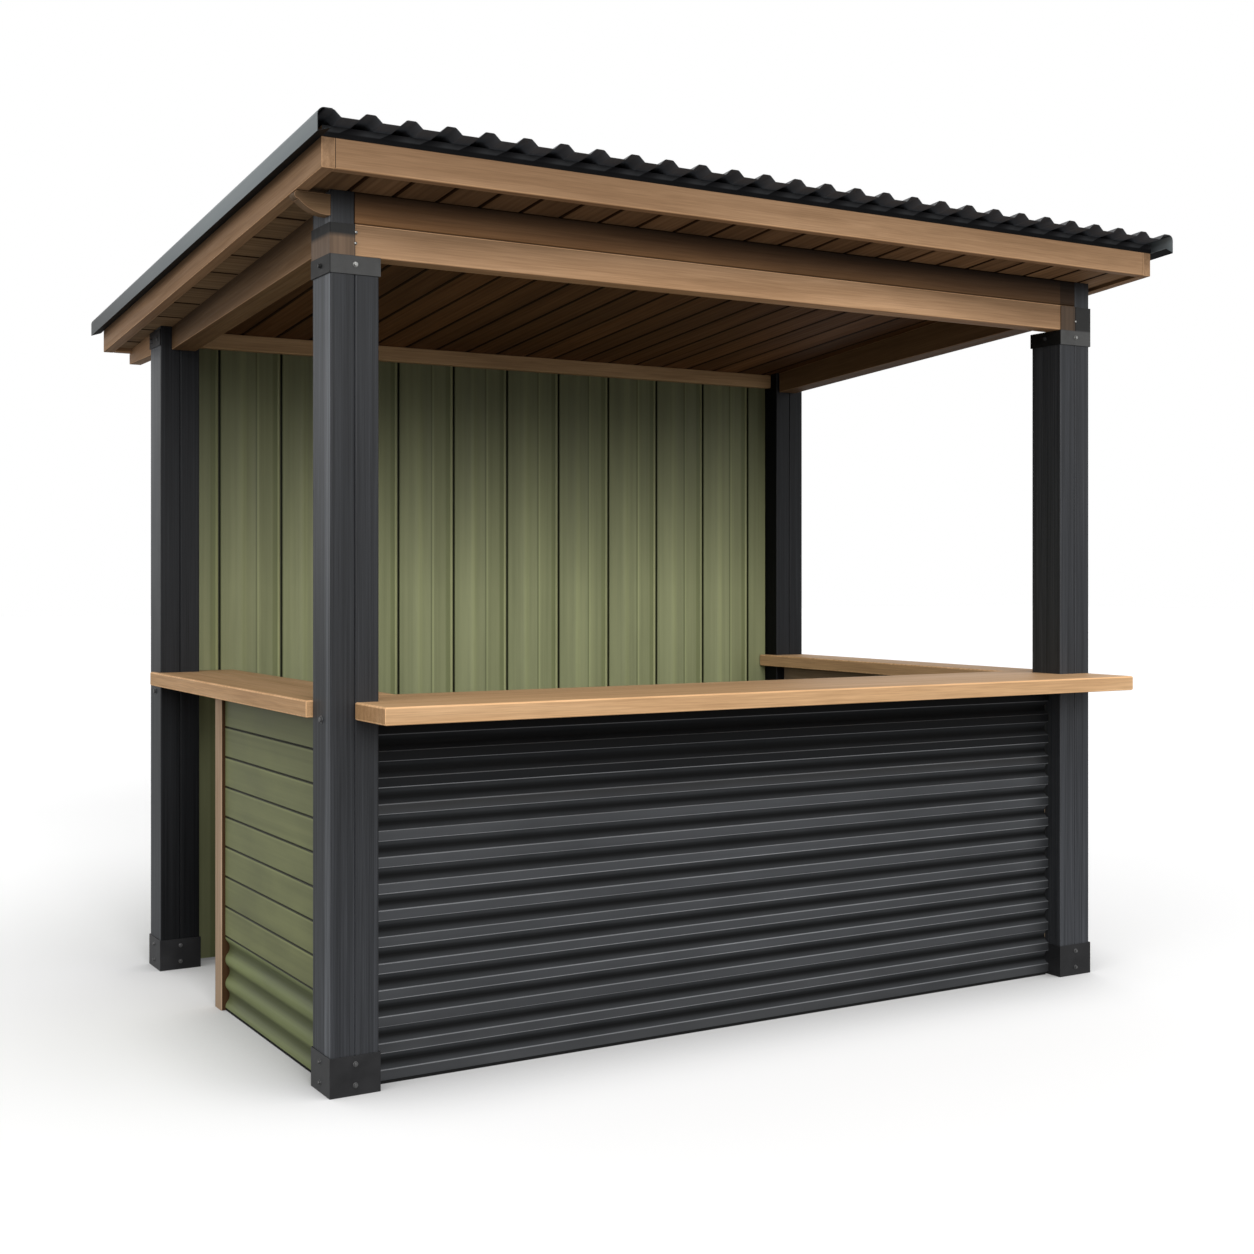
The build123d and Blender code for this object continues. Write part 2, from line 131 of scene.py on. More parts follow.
def ease(piece, width, segments=2, angle=30, arris=-1):
    """Rounds a piece's sharp edges, in a finish of their own if it has one, and evens its shading."""
    pick(piece)
    bevel = piece.modifiers.new("ease", "BEVEL")
    bevel.width = width
    bevel.segments = segments
    bevel.limit_method = "ANGLE"
    bevel.angle_limit = math.radians(angle)
    bevel.use_clamp_overlap = True
    bevel.material = arris
    bpy.ops.object.modifier_apply(modifier=bevel.name)
    even_shade(piece)


def even_shade(piece):
    """Smooth rounded edges with the broad faces kept flat."""
    pick(piece)
    bpy.ops.object.shade_smooth_by_angle(angle=math.radians(36))
    even = piece.modifiers.new("even", "WEIGHTED_NORMAL")
    even.keep_sharp = True
    bpy.ops.object.modifier_apply(modifier=even.name)


def dress(piece, slot, *replaced):
    """Gives a coated piece its body and hides the nodes that it stands for; its slot is not used."""
    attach(piece, "root")
    if replaced:
        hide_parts(*replaced)
    return piece


def merged_copy(node, name):
    """A copy of a node's mesh, merged to clean faces."""
    mesh = frame["nodes"][node].data.copy()
    mesh.name = name
    piece = bpy.data.objects.new(name, mesh)
    bpy.context.scene.collection.objects.link(piece)
    pick(piece)
    bpy.ops.mesh.customdata_custom_splitnormals_clear()
    bpy.ops.object.mode_set(mode="EDIT")
    bpy.ops.mesh.select_all(action="SELECT")
    bpy.ops.mesh.remove_doubles(threshold=0.00002)
    bpy.ops.mesh.dissolve_limited(angle_limit=math.radians(0.5))
    bpy.ops.object.mode_set(mode="OBJECT")
    return piece


def mark_board(piece, value):
    """Gives a piece the number that sets its own grain and tone."""
    layer = piece.data.attributes.new("board", "FLOAT", "POINT")
    layer.data.foreach_set("value", [value] * len(piece.data.vertices))


def join(pieces, name):
    """Pieces made into one, under one name."""
    deselect()
    for piece in pieces:
        piece.select_set(True)
    bpy.context.view_layer.objects.active = pieces[0]
    bpy.ops.object.join()
    whole = bpy.context.object
    whole.name = name
    whole.data.name = name
    return whole


def copied(piece, turn, place):
    """A copy with its own mesh, turned and put in place."""
    mesh = piece.data.copy()
    mesh.transform(Matrix.Translation(place) @ turn)
    copy = bpy.data.objects.new(piece.name, mesh)
    bpy.context.scene.collection.objects.link(copy)
    return copy


# Finishes


class Mixer:
    """Short hand for building one material's nodes."""

    def __init__(self, name):
        self.material = bpy.data.materials.new(name)
        self.material.use_nodes = True
        self.tree = self.material.node_tree
        self.shader = self.tree.nodes["Principled BSDF"]

    def feed(self, socket, value):
        """Links a socket to another node's output, or sets its own number, vector or colour."""
        if hasattr(value, "is_output"):
            self.tree.links.new(value, socket)
        elif socket.type == "RGBA" and len(value) == 3:
            socket.default_value = (*value, 1)
        else:
            socket.default_value = value

    def add(self, kind, inputs=None, **settings):
        """A new node with its settings, and with what each of its inputs is fed."""
        node = self.tree.nodes.new(kind)
        for key, value in settings.items():
            setattr(node, key, value)
        for key, value in (inputs or {}).items():
            self.feed(node.inputs[key], value)
        return node

    def object_place(self):
        return self.add("ShaderNodeTexCoord").outputs["Object"]

    def measure(self, direction):
        """Distance from the origin along a direction, in metres."""
        inputs = {0: self.object_place(), 1: direction}
        return self.add("ShaderNodeVectorMath", inputs, operation="DOT_PRODUCT").outputs["Value"]

    def moved(self, vector, scale=(1, 1, 1), rotation=(0, 0, 0)):
        inputs = {"Vector": vector, "Scale": scale, "Rotation": rotation}
        return self.add("ShaderNodeMapping", inputs).outputs["Vector"]

    def noise(self, vector, scale, detail, rough, distortion=0.0):
        inputs = {"Vector": vector, "Scale": scale, "Detail": detail, "Roughness": rough,
                  "Distortion": distortion}
        return self.add("ShaderNodeTexNoise", inputs).outputs["Fac"]

    def ramp(self, value, stops):
        """The value turned to a colour, by stops of a place and a colour each."""
        node = self.add("ShaderNodeValToRGB", {"Fac": value})
        band = node.color_ramp
        while len(band.elements) < len(stops):
            band.elements.new(0.5)
        for element, (place, colour) in zip(band.elements, stops):
            element.position = place
            element.color = (*colour, 1)
        return node.outputs["Color"]

    def span(self, value, low, high, new_low, new_high):
        inputs = {"Value": value, "From Min": low, "From Max": high,
                  "To Min": new_low, "To Max": new_high}
        return self.add("ShaderNodeMapRange", inputs).outputs["Result"]

    def math(self, operation, a, b=0.0):
        return self.add("ShaderNodeMath", {0: a, 1: b}, operation=operation).outputs["Value"]

    def blend(self, mode, amount, a, b):
        node = self.add("ShaderNodeMix", {0: amount, 6: a, 7: b}, data_type="RGBA", blend_type=mode)
        return node.outputs[2]

    def clouded(self, value, base, low, high):
        """The base colour, multiplied by low where the value is small and by high where it is large."""
        return self.ramp(value, [(0.3, tinted(base, low)), (0.7, tinted(base, high))])

    def shaded(self, colour, tones):
        """Painted light and shade: the colour deepened or lifted along some directions.

        Each of the tones is a direction to measure along, two distances, and what the colour is
        multiplied by at each of them.
        """
        for direction, near, far, at_near, at_far in tones:
            tone = self.span(self.measure(direction), near, far, at_near, at_far)
            colour = self.blend("MULTIPLY", 1.0, colour, tone)
        return colour

    def banded(self, colour, bands):
        """The colour multiplied by tones that repeat along a direction, as painted light and shade: its
        start, pitch and tones.
        """
        direction, start, pitch, stops = bands
        steps = self.math("DIVIDE", self.math("SUBTRACT", self.measure(direction), start), pitch)
        return self.blend("MULTIPLY", 1.0, colour, self.ramp(self.math("FRACT", steps), stops))

    def bump(self, height, strength, distance):
        inputs = {"Height": height, "Strength": strength, "Distance": distance}
        return self.add("ShaderNodeBump", inputs).outputs["Normal"]

    def finish(self, colour, roughness, normal=None, metallic=0.0, specular=0.5):
        """The material, with its own shader fed and set."""
        inputs = self.shader.inputs
        self.feed(inputs["Base Color"], colour)
        self.feed(inputs["Roughness"], roughness)
        if normal is not None:
            self.feed(inputs["Normal"], normal)
        inputs["Metallic"].default_value = metallic
        inputs["Specular IOR Level"].default_value = specular
        return self.material


TURN_TO_GRAIN = {
    "X": (0, 0, 0),
    "Y": (0, 0, -math.pi / 2),
    "Z": (0, math.pi / 2, 0),
}


def grain_place(mix, run, pitch=0.0):
    """Object place turned so that the grain runs along the first axis, shifted for each board."""
    level = mix.moved(mix.object_place(), rotation=(pitch, 0, 0))
    turned = mix.moved(level, rotation=TURN_TO_GRAIN[run])
    board = mix.add("ShaderNodeAttribute", attribute_name="board").outputs["Fac"]
    shift = mix.add("ShaderNodeCombineXYZ", {"X": mix.math("MULTIPLY", board, 7.3),
                                              "Y": mix.math("MULTIPLY", board, 3.1),
                                              "Z": mix.math("MULTIPLY", board, 5.7)})
    place = mix.add("ShaderNodeVectorMath", {0: turned, 1: shift.outputs["Vector"]}, operation="ADD")
    return place.outputs["Vector"], board


def timber(name, run, tones, fibre=0.5, figure=0.42, rough=(0.5, 0.7), bump=0.25, pitch=0.0,
           board_tone=0.25, specular=0.16, shades=()):
    """Sawn or planed wood: broad figure, growth lines, fine fibres and a tone for each board."""
    mix = Mixer(name)
    dark, middle, light = tones
    place, board = grain_place(mix, run, pitch)
    broad = mix.noise(mix.moved(place, (0.9, 9, 9)), 1.0, 5, 0.6, 0.7)
    lines = mix.noise(mix.moved(place, (1.6, 55, 55)), 1.0, 4, 0.6, 0.5)
    fibres = mix.noise(mix.moved(place, (6, 270, 270)), 1.0, 3, 0.6)
    wave_place = mix.moved(place, (0.35, 7.5, 7.5))
    rings = mix.add("ShaderNodeTexWave", {"Vector": wave_place, "Scale": 1.6, "Distortion": 5.5,
                                           "Detail": 3.0, "Detail Scale": 1.4},
                    bands_direction="Y", wave_profile="SIN").outputs["Fac"]
    colour = mix.ramp(broad, [(0.22, dark), (0.5, middle), (0.82, light)])
    ring_tone = mix.ramp(rings, [(0.0, (0.74, 0.70, 0.66)), (0.55, (1, 1, 1)), (1.0, (1.05, 1.04, 1.03))])
    colour = mix.blend("MULTIPLY", figure, colour, ring_tone)
    line_tone = mix.ramp(lines, [(0.3, (0.76, 0.73, 0.70)), (0.6, (1.08, 1.08, 1.08))])
    colour = mix.blend("MULTIPLY", figure, colour, line_tone)
    fibre_tone = mix.ramp(fibres, [(0.3, (0.68, 0.65, 0.61)), (0.62, (1.1, 1.1, 1.1))])
    colour = mix.blend("MULTIPLY", fibre, colour, fibre_tone)
    swing = mix.math("FRACT", mix.math("MULTIPLY", board, 17.37))
    tone = mix.span(swing, 0, 1, 1 - board_tone, 1 + board_tone)
    colour = mix.blend("MULTIPLY", 1.0, colour, tone)
    # The shades, where given, paint light and shade onto the wood along given directions.
    colour = mix.shaded(colour, shades)
    roughness = mix.span(lines, 0.3, 0.7, rough[1], rough[0])
    relief = mix.math("ADD", mix.math("MULTIPLY", fibres, 0.5), lines)
    normal = mix.bump(relief, bump, 0.0012)
    return mix.finish(colour, roughness, normal, specular=specular)


def painted_post(name, base, specular=0.24, contrast=1.0, shades=()):
    """Near-black stain on sawn timber: upright streaks, raised grain and rubbed patches."""
    mix = Mixer(name)
    place, board = grain_place(mix, "Z")
    streak = mix.noise(mix.moved(place, (0.8, 120, 120)), 1.0, 4, 0.7, 0.3)
    hair = mix.noise(mix.moved(place, (4, 300, 300)), 1.0, 3, 0.6)
    cloud = mix.noise(mix.moved(place, (1.2, 6, 6)), 1.0, 4, 0.6)
    low = tuple(c * (1 - 0.4 * contrast) for c in base)
    high = tuple(c * (1 + 0.6 * contrast) for c in base)
    colour = mix.ramp(streak, [(0.3, low), (0.5, base), (0.72, high)])
    hair_tone = mix.ramp(hair, [(0.3, (0.65, 0.65, 0.66)), (0.65, (1.2, 1.2, 1.2))])
    colour = mix.blend("MULTIPLY", 0.7, colour, hair_tone)
    # The shades, where given, paint light and shade onto the stain along given directions.
    colour = mix.shaded(colour, shades)
    rough = mix.math("ADD", mix.span(streak, 0.3, 0.7, 0.30, 0.44), mix.span(cloud, 0.3, 0.7, 0.0, 0.1))
    relief = mix.math("ADD", mix.math("MULTIPLY", hair, 0.6), streak)
    return mix.finish(colour, rough, mix.bump(relief, 0.32, 0.0009), specular=specular)


def sheet_skin(mix, place, streak, strength):
    """The fine skin of painted sheet, over its faint rolling streaks."""
    skin = mix.noise(place, 900, 2, 0.5)
    return mix.bump(mix.math("ADD", mix.math("MULTIPLY", skin, 0.3), streak), strength, 0.0008)


def sheet_paint(name, run, base, spread=0.16, rough=(0.34, 0.5), specular=0.5, dust=0.0, tones=(),
                bands=None):
    """Factory-painted sheet: cloudy tone, faint rolling streaks, dust low down and a fine skin."""
    mix = Mixer(name)
    place = mix.moved(mix.object_place(), rotation=TURN_TO_GRAIN[run])
    cloud = mix.noise(mix.moved(place, (1.4, 3.5, 3.5)), 1.0, 5, 0.6, 0.4)
    streak = mix.noise(mix.moved(place, (0.8, 60, 60)), 1.0, 3, 0.6)
    colour = mix.clouded(cloud, base, 1 - spread, 1 + spread)
    streak_tone = mix.ramp(streak, [(0.3, (0.84, 0.84, 0.84)), (0.65, (1.07, 1.07, 1.07))])
    colour = mix.blend("MULTIPLY", 0.7, colour, streak_tone)
    # The tones and bands paint light and shade onto the sheet.
    colour = mix.shaded(colour, tones)
    if bands:
        colour = mix.banded(colour, bands)
    roughness = mix.span(cloud, 0.3, 0.7, rough[0], rough[1])
    if dust:
        low_down = mix.span(mix.measure((0, 0, 1)), 0.0, 0.22, 1.0, 0.0)
        patchy = mix.math("MULTIPLY", low_down, mix.span(cloud, 0.35, 0.7, 0.2, 1.0))
        colour = mix.blend("MIX", mix.math("MULTIPLY", patchy, dust), colour, (0.3, 0.28, 0.25))
    return mix.finish(colour, roughness, sheet_skin(mix, place, streak, 0.05), specular=specular)


def rolled_wall_paint(name, base, face, into, shades=()):
    """Green wall sheet paint, with painted highlights and painted shade in bands beside its folds, and
    painted shade in its seams.

    The bands repeat with the seams, and the paint in a seam darkens with its depth behind the face, as
    painted shade.
    """
    mix = Mixer(name)
    place = mix.moved(mix.object_place(), rotation=TURN_TO_GRAIN["Z"])
    cloud = mix.noise(mix.moved(place, (0.8, 7, 7)), 1.0, 5, 0.6, 0.4)
    streak = mix.noise(mix.moved(place, (0.5, 45, 45)), 1.0, 3, 0.6)
    colour = mix.clouded(cloud, base, 0.86, 1.14)
    streak_tone = mix.ramp(streak, [(0.32, (0.86, 0.87, 0.86)), (0.62, (1.06, 1.06, 1.06))])
    colour = mix.blend("MULTIPLY", 0.8, colour, streak_tone)
    colour = mix.banded(colour, ((1, 0, 0), 0.0, WALL_SEAM_PITCH, WALL_PAINTED_LIGHT_AND_SHADE))
    depth = mix.span(mix.measure((0, into, 0)), into * face + 0.002, into * face + 0.006, 1.0, 0.12)
    colour = mix.blend("MULTIPLY", 1.0, colour, depth)
    colour = mix.shaded(colour, shades)
    roughness = mix.span(cloud, 0.3, 0.7, 0.42, 0.56)
    return mix.finish(colour, roughness, sheet_skin(mix, place, streak, 0.06), specular=0.25)


def pebbled_skin(mix, place):
    """The fine pebbles of a powder coat."""
    return mix.bump(mix.noise(place, 700, 2, 0.5), 0.15, 0.0004)


def cast_metal(name, base, rough=0.4, metallic=0.0, specular=0.5):
    """Powder-coated or plated steel, with a slightly pebbled skin."""
    mix = Mixer(name)
    place = mix.object_place()
    cloud = mix.noise(place, 9, 4, 0.6, 0.3)
    colour = mix.clouded(cloud, base, 0.8, 1.25)
    roughness = mix.span(cloud, 0.3, 0.7, rough - 0.08, rough + 0.1)
    return mix.finish(colour, roughness, pebbled_skin(mix, place), metallic=metallic, specular=specular)


def worn_band(name, seam, brown_share, brown_tone, shades):
    """Grey band steel whose rising plate has worn to brown, left of the seam, with a dark slit there."""
    mix = Mixer(name)
    place = mix.object_place()
    cloud = mix.noise(place, 14, 4, 0.6, 0.3)
    streak = mix.noise(mix.moved(place, (70, 70, 1.5)), 1.0, 3, 0.6)
    colour = mix.ramp(cloud, [(0.3, (0.041, 0.041, 0.040)), (0.7, (0.060, 0.060, 0.059))])
    height = mix.measure((0, 0, 1))
    dark_top = mix.span(height, BAND_TOP_HEIGHT - 0.002, BAND_TOP_HEIGHT + 0.004, 1.0, 0.30)
    colour = mix.blend("MULTIPLY", 1.0, colour, dark_top)
    colour = mix.shaded(colour, shades)
    brown = mix.clouded(streak, WORN_BROWN, 0.78 * brown_tone, 1.22 * brown_tone)
    above = mix.span(height, BAND_TOP_HEIGHT, BAND_TOP_HEIGHT + 0.0015, 0.0, 1.0)
    rise = BAND_TOP_HEIGHT + brown_share * (PLATE_TOP_HEIGHT - BAND_TOP_HEIGHT)
    below = mix.span(height, rise - 0.007, rise + 0.007, 1.0, 0.0)
    across = mix.measure((1, 0, 0))
    before = mix.math("LESS_THAN", across, seam)
    worn = mix.math("MULTIPLY", mix.math("MULTIPLY", above, below), before)
    colour = mix.blend("MIX", mix.math("MULTIPLY", worn, 0.9), colour, brown)
    off_seam = mix.math("ABSOLUTE", mix.math("SUBTRACT", across, seam))
    slit = mix.math("MULTIPLY", mix.span(off_seam, 0.0018, 0.0032, 1.0, 0.0), above)
    colour = mix.blend("MIX", mix.math("MULTIPLY", slit, 0.9), colour, (0.006, 0.006, 0.006))
    roughness = mix.span(cloud, 0.3, 0.7, 0.42, 0.55)
    return mix.finish(colour, roughness, pebbled_skin(mix, place), specular=0.15)


def rib_shaded_drip(name):
    """Black drip edge, with the grey light and black shade of the roof ribs painted onto its upper part."""
    mix = Mixer(name)
    low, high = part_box("drip_front")
    cloud = mix.noise(mix.object_place(), 12, 4, 0.6, 0.3)
    edge_of_rib = mix.measure((1, 0, -DRIP_RAKE))
    start = RIB_START - 0.28 * RIB_PITCH - DRIP_RAKE * high.z
    share = mix.math("FRACT", mix.math("DIVIDE", mix.math("SUBTRACT", edge_of_rib, start), RIB_PITCH))
    ribs = mix.ramp(share, [(0.0, (0.006, 0.006, 0.007)), (0.35, (0.013, 0.013, 0.014)),
                            (0.65, (0.032, 0.033, 0.035)), (0.97, (0.042, 0.043, 0.046)),
                            (1.0, (0.006, 0.006, 0.007))])
    upper = mix.span(mix.measure((0, 0, 1)), low.z + 0.012, low.z + 0.016, 0.0, 1.0)
    colour = mix.blend("MIX", upper, (0.0035, 0.0035, 0.004), ribs)
    roughness = mix.span(cloud, 0.3, 0.7, 0.5, 0.6)
    return mix.finish(colour, roughness, mix.bump(cloud, 0.05, 0.0008), specular=0.06)


def flashing_paint(name, foot, top):
    """Grey flashing paint, darker at its top edge, with painted shade deepening towards the back of the
    roof.
    """
    mix = Mixer(name)
    place = mix.moved(mix.object_place(), rotation=TURN_TO_GRAIN["Y"])
    cloud = mix.noise(mix.moved(place, (1.4, 6, 6)), 1.0, 5, 0.6, 0.4)
    skin = mix.noise(place, 900, 2, 0.5)
    share = mix.span(mix.measure((0, SLOPE, 1)), foot, top, 0.0, 1.0)
    colour = mix.ramp(share, [(0.0, (0.200, 0.226, 0.235)), (0.5, (0.225, 0.250, 0.258)),
                              (0.85, (0.200, 0.223, 0.230)), (1.0, (0.075, 0.085, 0.090))])
    # Painted shade towards the back of the roof.
    colour = mix.shaded(colour, [((0, 1, 0), -0.3, 1.2, 1.0, 0.25)])
    shade = mix.ramp(cloud, [(0.3, (0.90, 0.90, 0.90)), (0.7, (1.07, 1.07, 1.07))])
    colour = mix.blend("MULTIPLY", 0.8, colour, shade)
    roughness = mix.span(cloud, 0.3, 0.7, 0.42, 0.55)
    return mix.finish(colour, roughness, mix.bump(skin, 0.03, 0.0006), specular=0.25)


def toned(tones, red, green=None, blue=None):
    """Wood tones made lighter or darker, all alike or colour by colour."""
    shares = (red, red if green is None else green, red if blue is None else blue)
    return tuple(tuple(min(1.0, c * k) for c, k in zip(tone, shares)) for tone in tones)


def tinted(colour, *shares):
    """One colour made lighter or darker in the same way."""
    return toned([colour], *shares)[0]


FOLD_DROP = 0.012
FOLD_REACH = 0.0035
CREST_PITCH = 0.076
CREST_HEM = 0.0285
WAVE_COUNT = 3
WAVE_HEIGHT = 0.080
WAVES_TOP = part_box("panel_left")[0].z + WAVE_COUNT * WAVE_HEIGHT
GROOVE_COUNT = 8
WALL_BEAD = 0.004
WALL_SEAM_PITCH = 0.244
# Painted highlights and shade beside the wall's folds, repeating with its seams.
WALL_PAINTED_LIGHT_AND_SHADE = [
    (0.00, (0.50, 0.52, 0.46)), (0.020, (0.50, 0.52, 0.46)), (0.035, (0.98, 0.98, 0.96)),
    (0.30, (1.0, 1.0, 1.0)), (0.355, (1.16, 1.16, 1.12)), (0.41, (1.14, 1.14, 1.10)),
    (0.45, (1.0, 1.0, 1.0)), (0.570, (0.98, 0.98, 0.96)), (0.590, (0.52, 0.54, 0.46)),
    (0.612, (1.34, 1.34, 1.26)), (0.64, (1.02, 1.02, 1.0)), (0.84, (0.98, 0.98, 0.96)),
    (0.87, (0.74, 0.76, 0.66)), (0.930, (0.72, 0.74, 0.64)), (0.943, (1.30, 1.28, 1.20)),
    (0.972, (1.30, 1.28, 1.20)), (0.980, (0.5, 0.52, 0.46)),
]

CEDAR_TONES = ((0.255, 0.146, 0.074), (0.350, 0.209, 0.112), (0.450, 0.280, 0.160))
SHADED_TONES = toned(CEDAR_TONES, 0.25, 0.21, 0.16)
INNER_TONES = toned(CEDAR_TONES, 0.43, 0.40, 0.34)
RAIL_TONES = toned(CEDAR_TONES, 1.31, 1.42, 1.38)
OAK_TONES = ((0.455, 0.270, 0.132), (0.575, 0.352, 0.182), (0.670, 0.435, 0.245))
SOFFIT_TONES = ((0.110, 0.062, 0.030), (0.170, 0.098, 0.048), (0.235, 0.140, 0.072))
CEILING_TONES = ((0.078, 0.033, 0.0115), (0.122, 0.054, 0.019), (0.180, 0.084, 0.032))
ROUGH_TONES = ((0.200, 0.140, 0.085), (0.280, 0.200, 0.125), (0.350, 0.260, 0.170))
BLACK_PAINT = (0.0185, 0.0196, 0.0220)
BACK_POST_PAINT = (0.0125, 0.0133, 0.0150)
INNER_POST_PAINT = (0.0265, 0.0278, 0.0305)
LIT_POST_PAINT = (0.0620, 0.0660, 0.0720)
CHARCOAL_PAINT = (0.0380, 0.0408, 0.0450)
WORN_BROWN = (0.155, 0.102, 0.066)
# Painted light: the wall's green is a lighter copy of the left panel's green.
GREEN_PAINT = (0.253, 0.268, 0.140)
LEFT_GREEN_PAINT = (0.185, 0.198, 0.098)

HEAD_JOINT_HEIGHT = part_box("header_front_upper")[0].z
HEAD_TOP_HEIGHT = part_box("header_front_upper")[1].z
BAND_TOP_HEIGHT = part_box("header_front_lower")[0].z
PLATE_TOP_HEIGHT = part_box("head_band_front_left")[1].z
POST_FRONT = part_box("post_front_left_outer")[0].y
CEILING_LINE = HEAD_TOP_HEIGHT + POST_FRONT * SLOPE
# Painted shade just under the ceiling, measured along the fall of the roof.
PAINTED_SHADE_UNDER_CEILING = ((0, SLOPE, 1), CEILING_LINE - 0.125, CEILING_LINE - 0.02, 1.0, 0.34)
RIB_COUNT = 28
RIB_CROWN = 0.22
SHEET_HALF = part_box("roof_sheet")[1].x
RIB_PITCH = 2 * SHEET_HALF / (RIB_COUNT - 1 + RIB_CROWN)
RIB_START = -SHEET_HALF + RIB_CROWN / 2 * RIB_PITCH
DRIP_RAKE = 1.84
LEFT_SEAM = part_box("post_front_left_outer")[1].x
RIGHT_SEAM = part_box("post_front_right_outer")[0].x
RAKE_LOW, RAKE_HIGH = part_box("fascia_left")
RAKE_FOOT = RAKE_LOW.z + RAKE_HIGH.y * SLOPE
RAKE_TOP = RAKE_HIGH.z + RAKE_LOW.y * SLOPE

# Painted light on the posts: lighter at the foot and towards the head, and a painted sheen beside the front
# corner of the left faces, darker further back.
PAINTED_LIGHT_AT_FOOT = ((0, 0, 1), 0.15, 1.05, 1.6, 1.0)
PAINTED_LIGHT_AT_HEAD = ((0, 0, 1), 1.20, 2.10, 0.78, 1.22)
PAINTED_SHEEN_BY_CORNER = ((0, 1, 0), POST_FRONT + 0.030, POST_FRONT + 0.055, 1.6, 0.8)

# The front posts' stain, with painted light at the foot and on the right-hand posts, and painted shade just
# under the ceiling.
post_paint = painted_post("charcoal_stain_on_timber", BLACK_PAINT,
                          shades=[PAINTED_LIGHT_AT_FOOT, ((1, 0, 0), 0.5, 1.3, 1.0, 1.45),
                                  ((0, 0, 1), 2.44, 2.53, 1.0, 0.6)])
# Painted light on the left faces of the left posts: a lighter copy of the stain, with the painted light at
# foot and head and the painted sheen by the corner.
lit_post_paint = painted_post("rubbed_stain_on_outer_faces", LIT_POST_PAINT, specular=0.14, contrast=1.7,
                              shades=[PAINTED_LIGHT_AT_FOOT, PAINTED_LIGHT_AT_HEAD, PAINTED_SHEEN_BY_CORNER])
# Painted shade: a separate, less glossy copy of the stain on the inward left faces of the front right post.
inner_post_paint = painted_post("inner_faces_painted_shade", INNER_POST_PAINT, specular=0.18)
# Painted shade on the back posts: a darker copy of the stain, darker still towards the foot.
back_post_paint = painted_post("back_posts_painted_shade", BACK_POST_PAINT, specular=0.17,
                               shades=[((0, 0, 1), 0.2, 1.3, 0.5, 1.0)])
# Painted shade on the left faces of the back right post: a much darker copy of the back posts' stain.
back_inner_paint = painted_post("black_stain_in_shade", tinted(BACK_POST_PAINT, 0.35), specular=0.05)
cedar = {
    "X": timber("cedar_along", "X", CEDAR_TONES, board_tone=0.06),
    "Y": timber("cedar_down_the_slope", "Y", CEDAR_TONES, pitch=ROOF_PITCH, board_tone=0.06),
}
# A lighter copy of the cedar on the eased edges, as a painted highlight.
cedar_arris = timber("cedar_arris_painted_highlight", "X", toned(CEDAR_TONES, 1.45), board_tone=0.02)
# Painted shade on the lower front header board: darker towards its top under the fascia, lighter in the
# middle of its length and darker towards the right.
cedar_header_painted_light_and_shade = timber("cedar_header_painted_light_and_shade", "X", CEDAR_TONES, board_tone=0.02,
                      shades=[((0, 0, 1), BAND_TOP_HEIGHT + 0.012, HEAD_JOINT_HEIGHT, 1.22, 0.68),
                              ((1, 0, 0), -1.2, -0.3, 0.92, 1.16), ((1, 0, 0), 0.5, 1.2, 1.0, 0.72)])
# Painted shade on the upper front header board: a much darker copy of the cedar, darker still towards its
# top and its right end, and darker again near the right seam.
cedar_shaded = timber("cedar_in_painted_shade", "X", SHADED_TONES, board_tone=0.04,
                      shades=[((0, 0, 1), HEAD_JOINT_HEIGHT, HEAD_TOP_HEIGHT, 2.1, 0.25),
                              ((1, 0, 0), -1.3, 1.3, 1.22, 0.46),
                              ((1, 0, 0), RIGHT_SEAM - 0.074, RIGHT_SEAM - 0.072, 1.0, 0.42)])
# A lighter copy of the cedar on the back rail, as painted light under the roof.
cedar_rail = timber("cedar_back_rail", "X", RAIL_TONES, board_tone=0.04)
# Painted shade on the left header: a darker copy of the cedar, darker still towards the ceiling.
cedar_side = timber("cedar_side_header", "Y", toned(CEDAR_TONES, 0.62, 0.60, 0.53), pitch=ROOF_PITCH,
                    board_tone=0.04, shades=[PAINTED_SHADE_UNDER_CEILING])
# Painted shade on the right header and the inward face of the right fascia: a darker copy of the cedar.
cedar_inner = timber("cedar_inside_painted_shade", "Y", INNER_TONES, pitch=ROOF_PITCH, board_tone=0.04)
cedar_scroll = timber("cedar_scroll_end", "X", toned(CEDAR_TONES, 0.95, 0.95, 0.88), board_tone=0.02,
                      shades=[PAINTED_SHADE_UNDER_CEILING])
# Painted shadow of the flashing: the rake fascias darker towards their top.
cedar_rake = timber("cedar_rake_fascia", "Y", toned(CEDAR_TONES, 0.98), pitch=ROOF_PITCH, board_tone=0.02,
                    shades=[((0, SLOPE, 1), RAKE_FOOT + 0.02, RAKE_TOP - 0.01, 1.0, 0.62)])
cedar_joint = timber("dark_board_end_joint", "Z", toned(CEDAR_TONES, 0.3), board_tone=0.02)
jamb_shade = timber("jamb_in_shade", "Z", toned(CEDAR_TONES, 0.16, 0.13, 0.10), board_tone=0.02,
                    specular=0.08)
jamb_face = timber("jamb_face", "Z", toned(CEDAR_TONES, 1.13, 1.33, 1.62), board_tone=0.02)
oak = {run: timber(name, run, OAK_TONES, figure=0.26, fibre=0.55, rough=(0.46, 0.62), board_tone=0.03)
       for run, name in (("X", "oak_along"), ("Y", "oak_across"))}
# A lighter copy of the oak on the eased edges, as a painted highlight.
oak_arris = timber("oak_arris_painted_highlight", "X", toned(OAK_TONES, 1.4), board_tone=0.02)
oak_end = timber("oak_end_grain", "X", toned(OAK_TONES, 0.78, 0.74, 0.68), board_tone=0.02, figure=0.3)
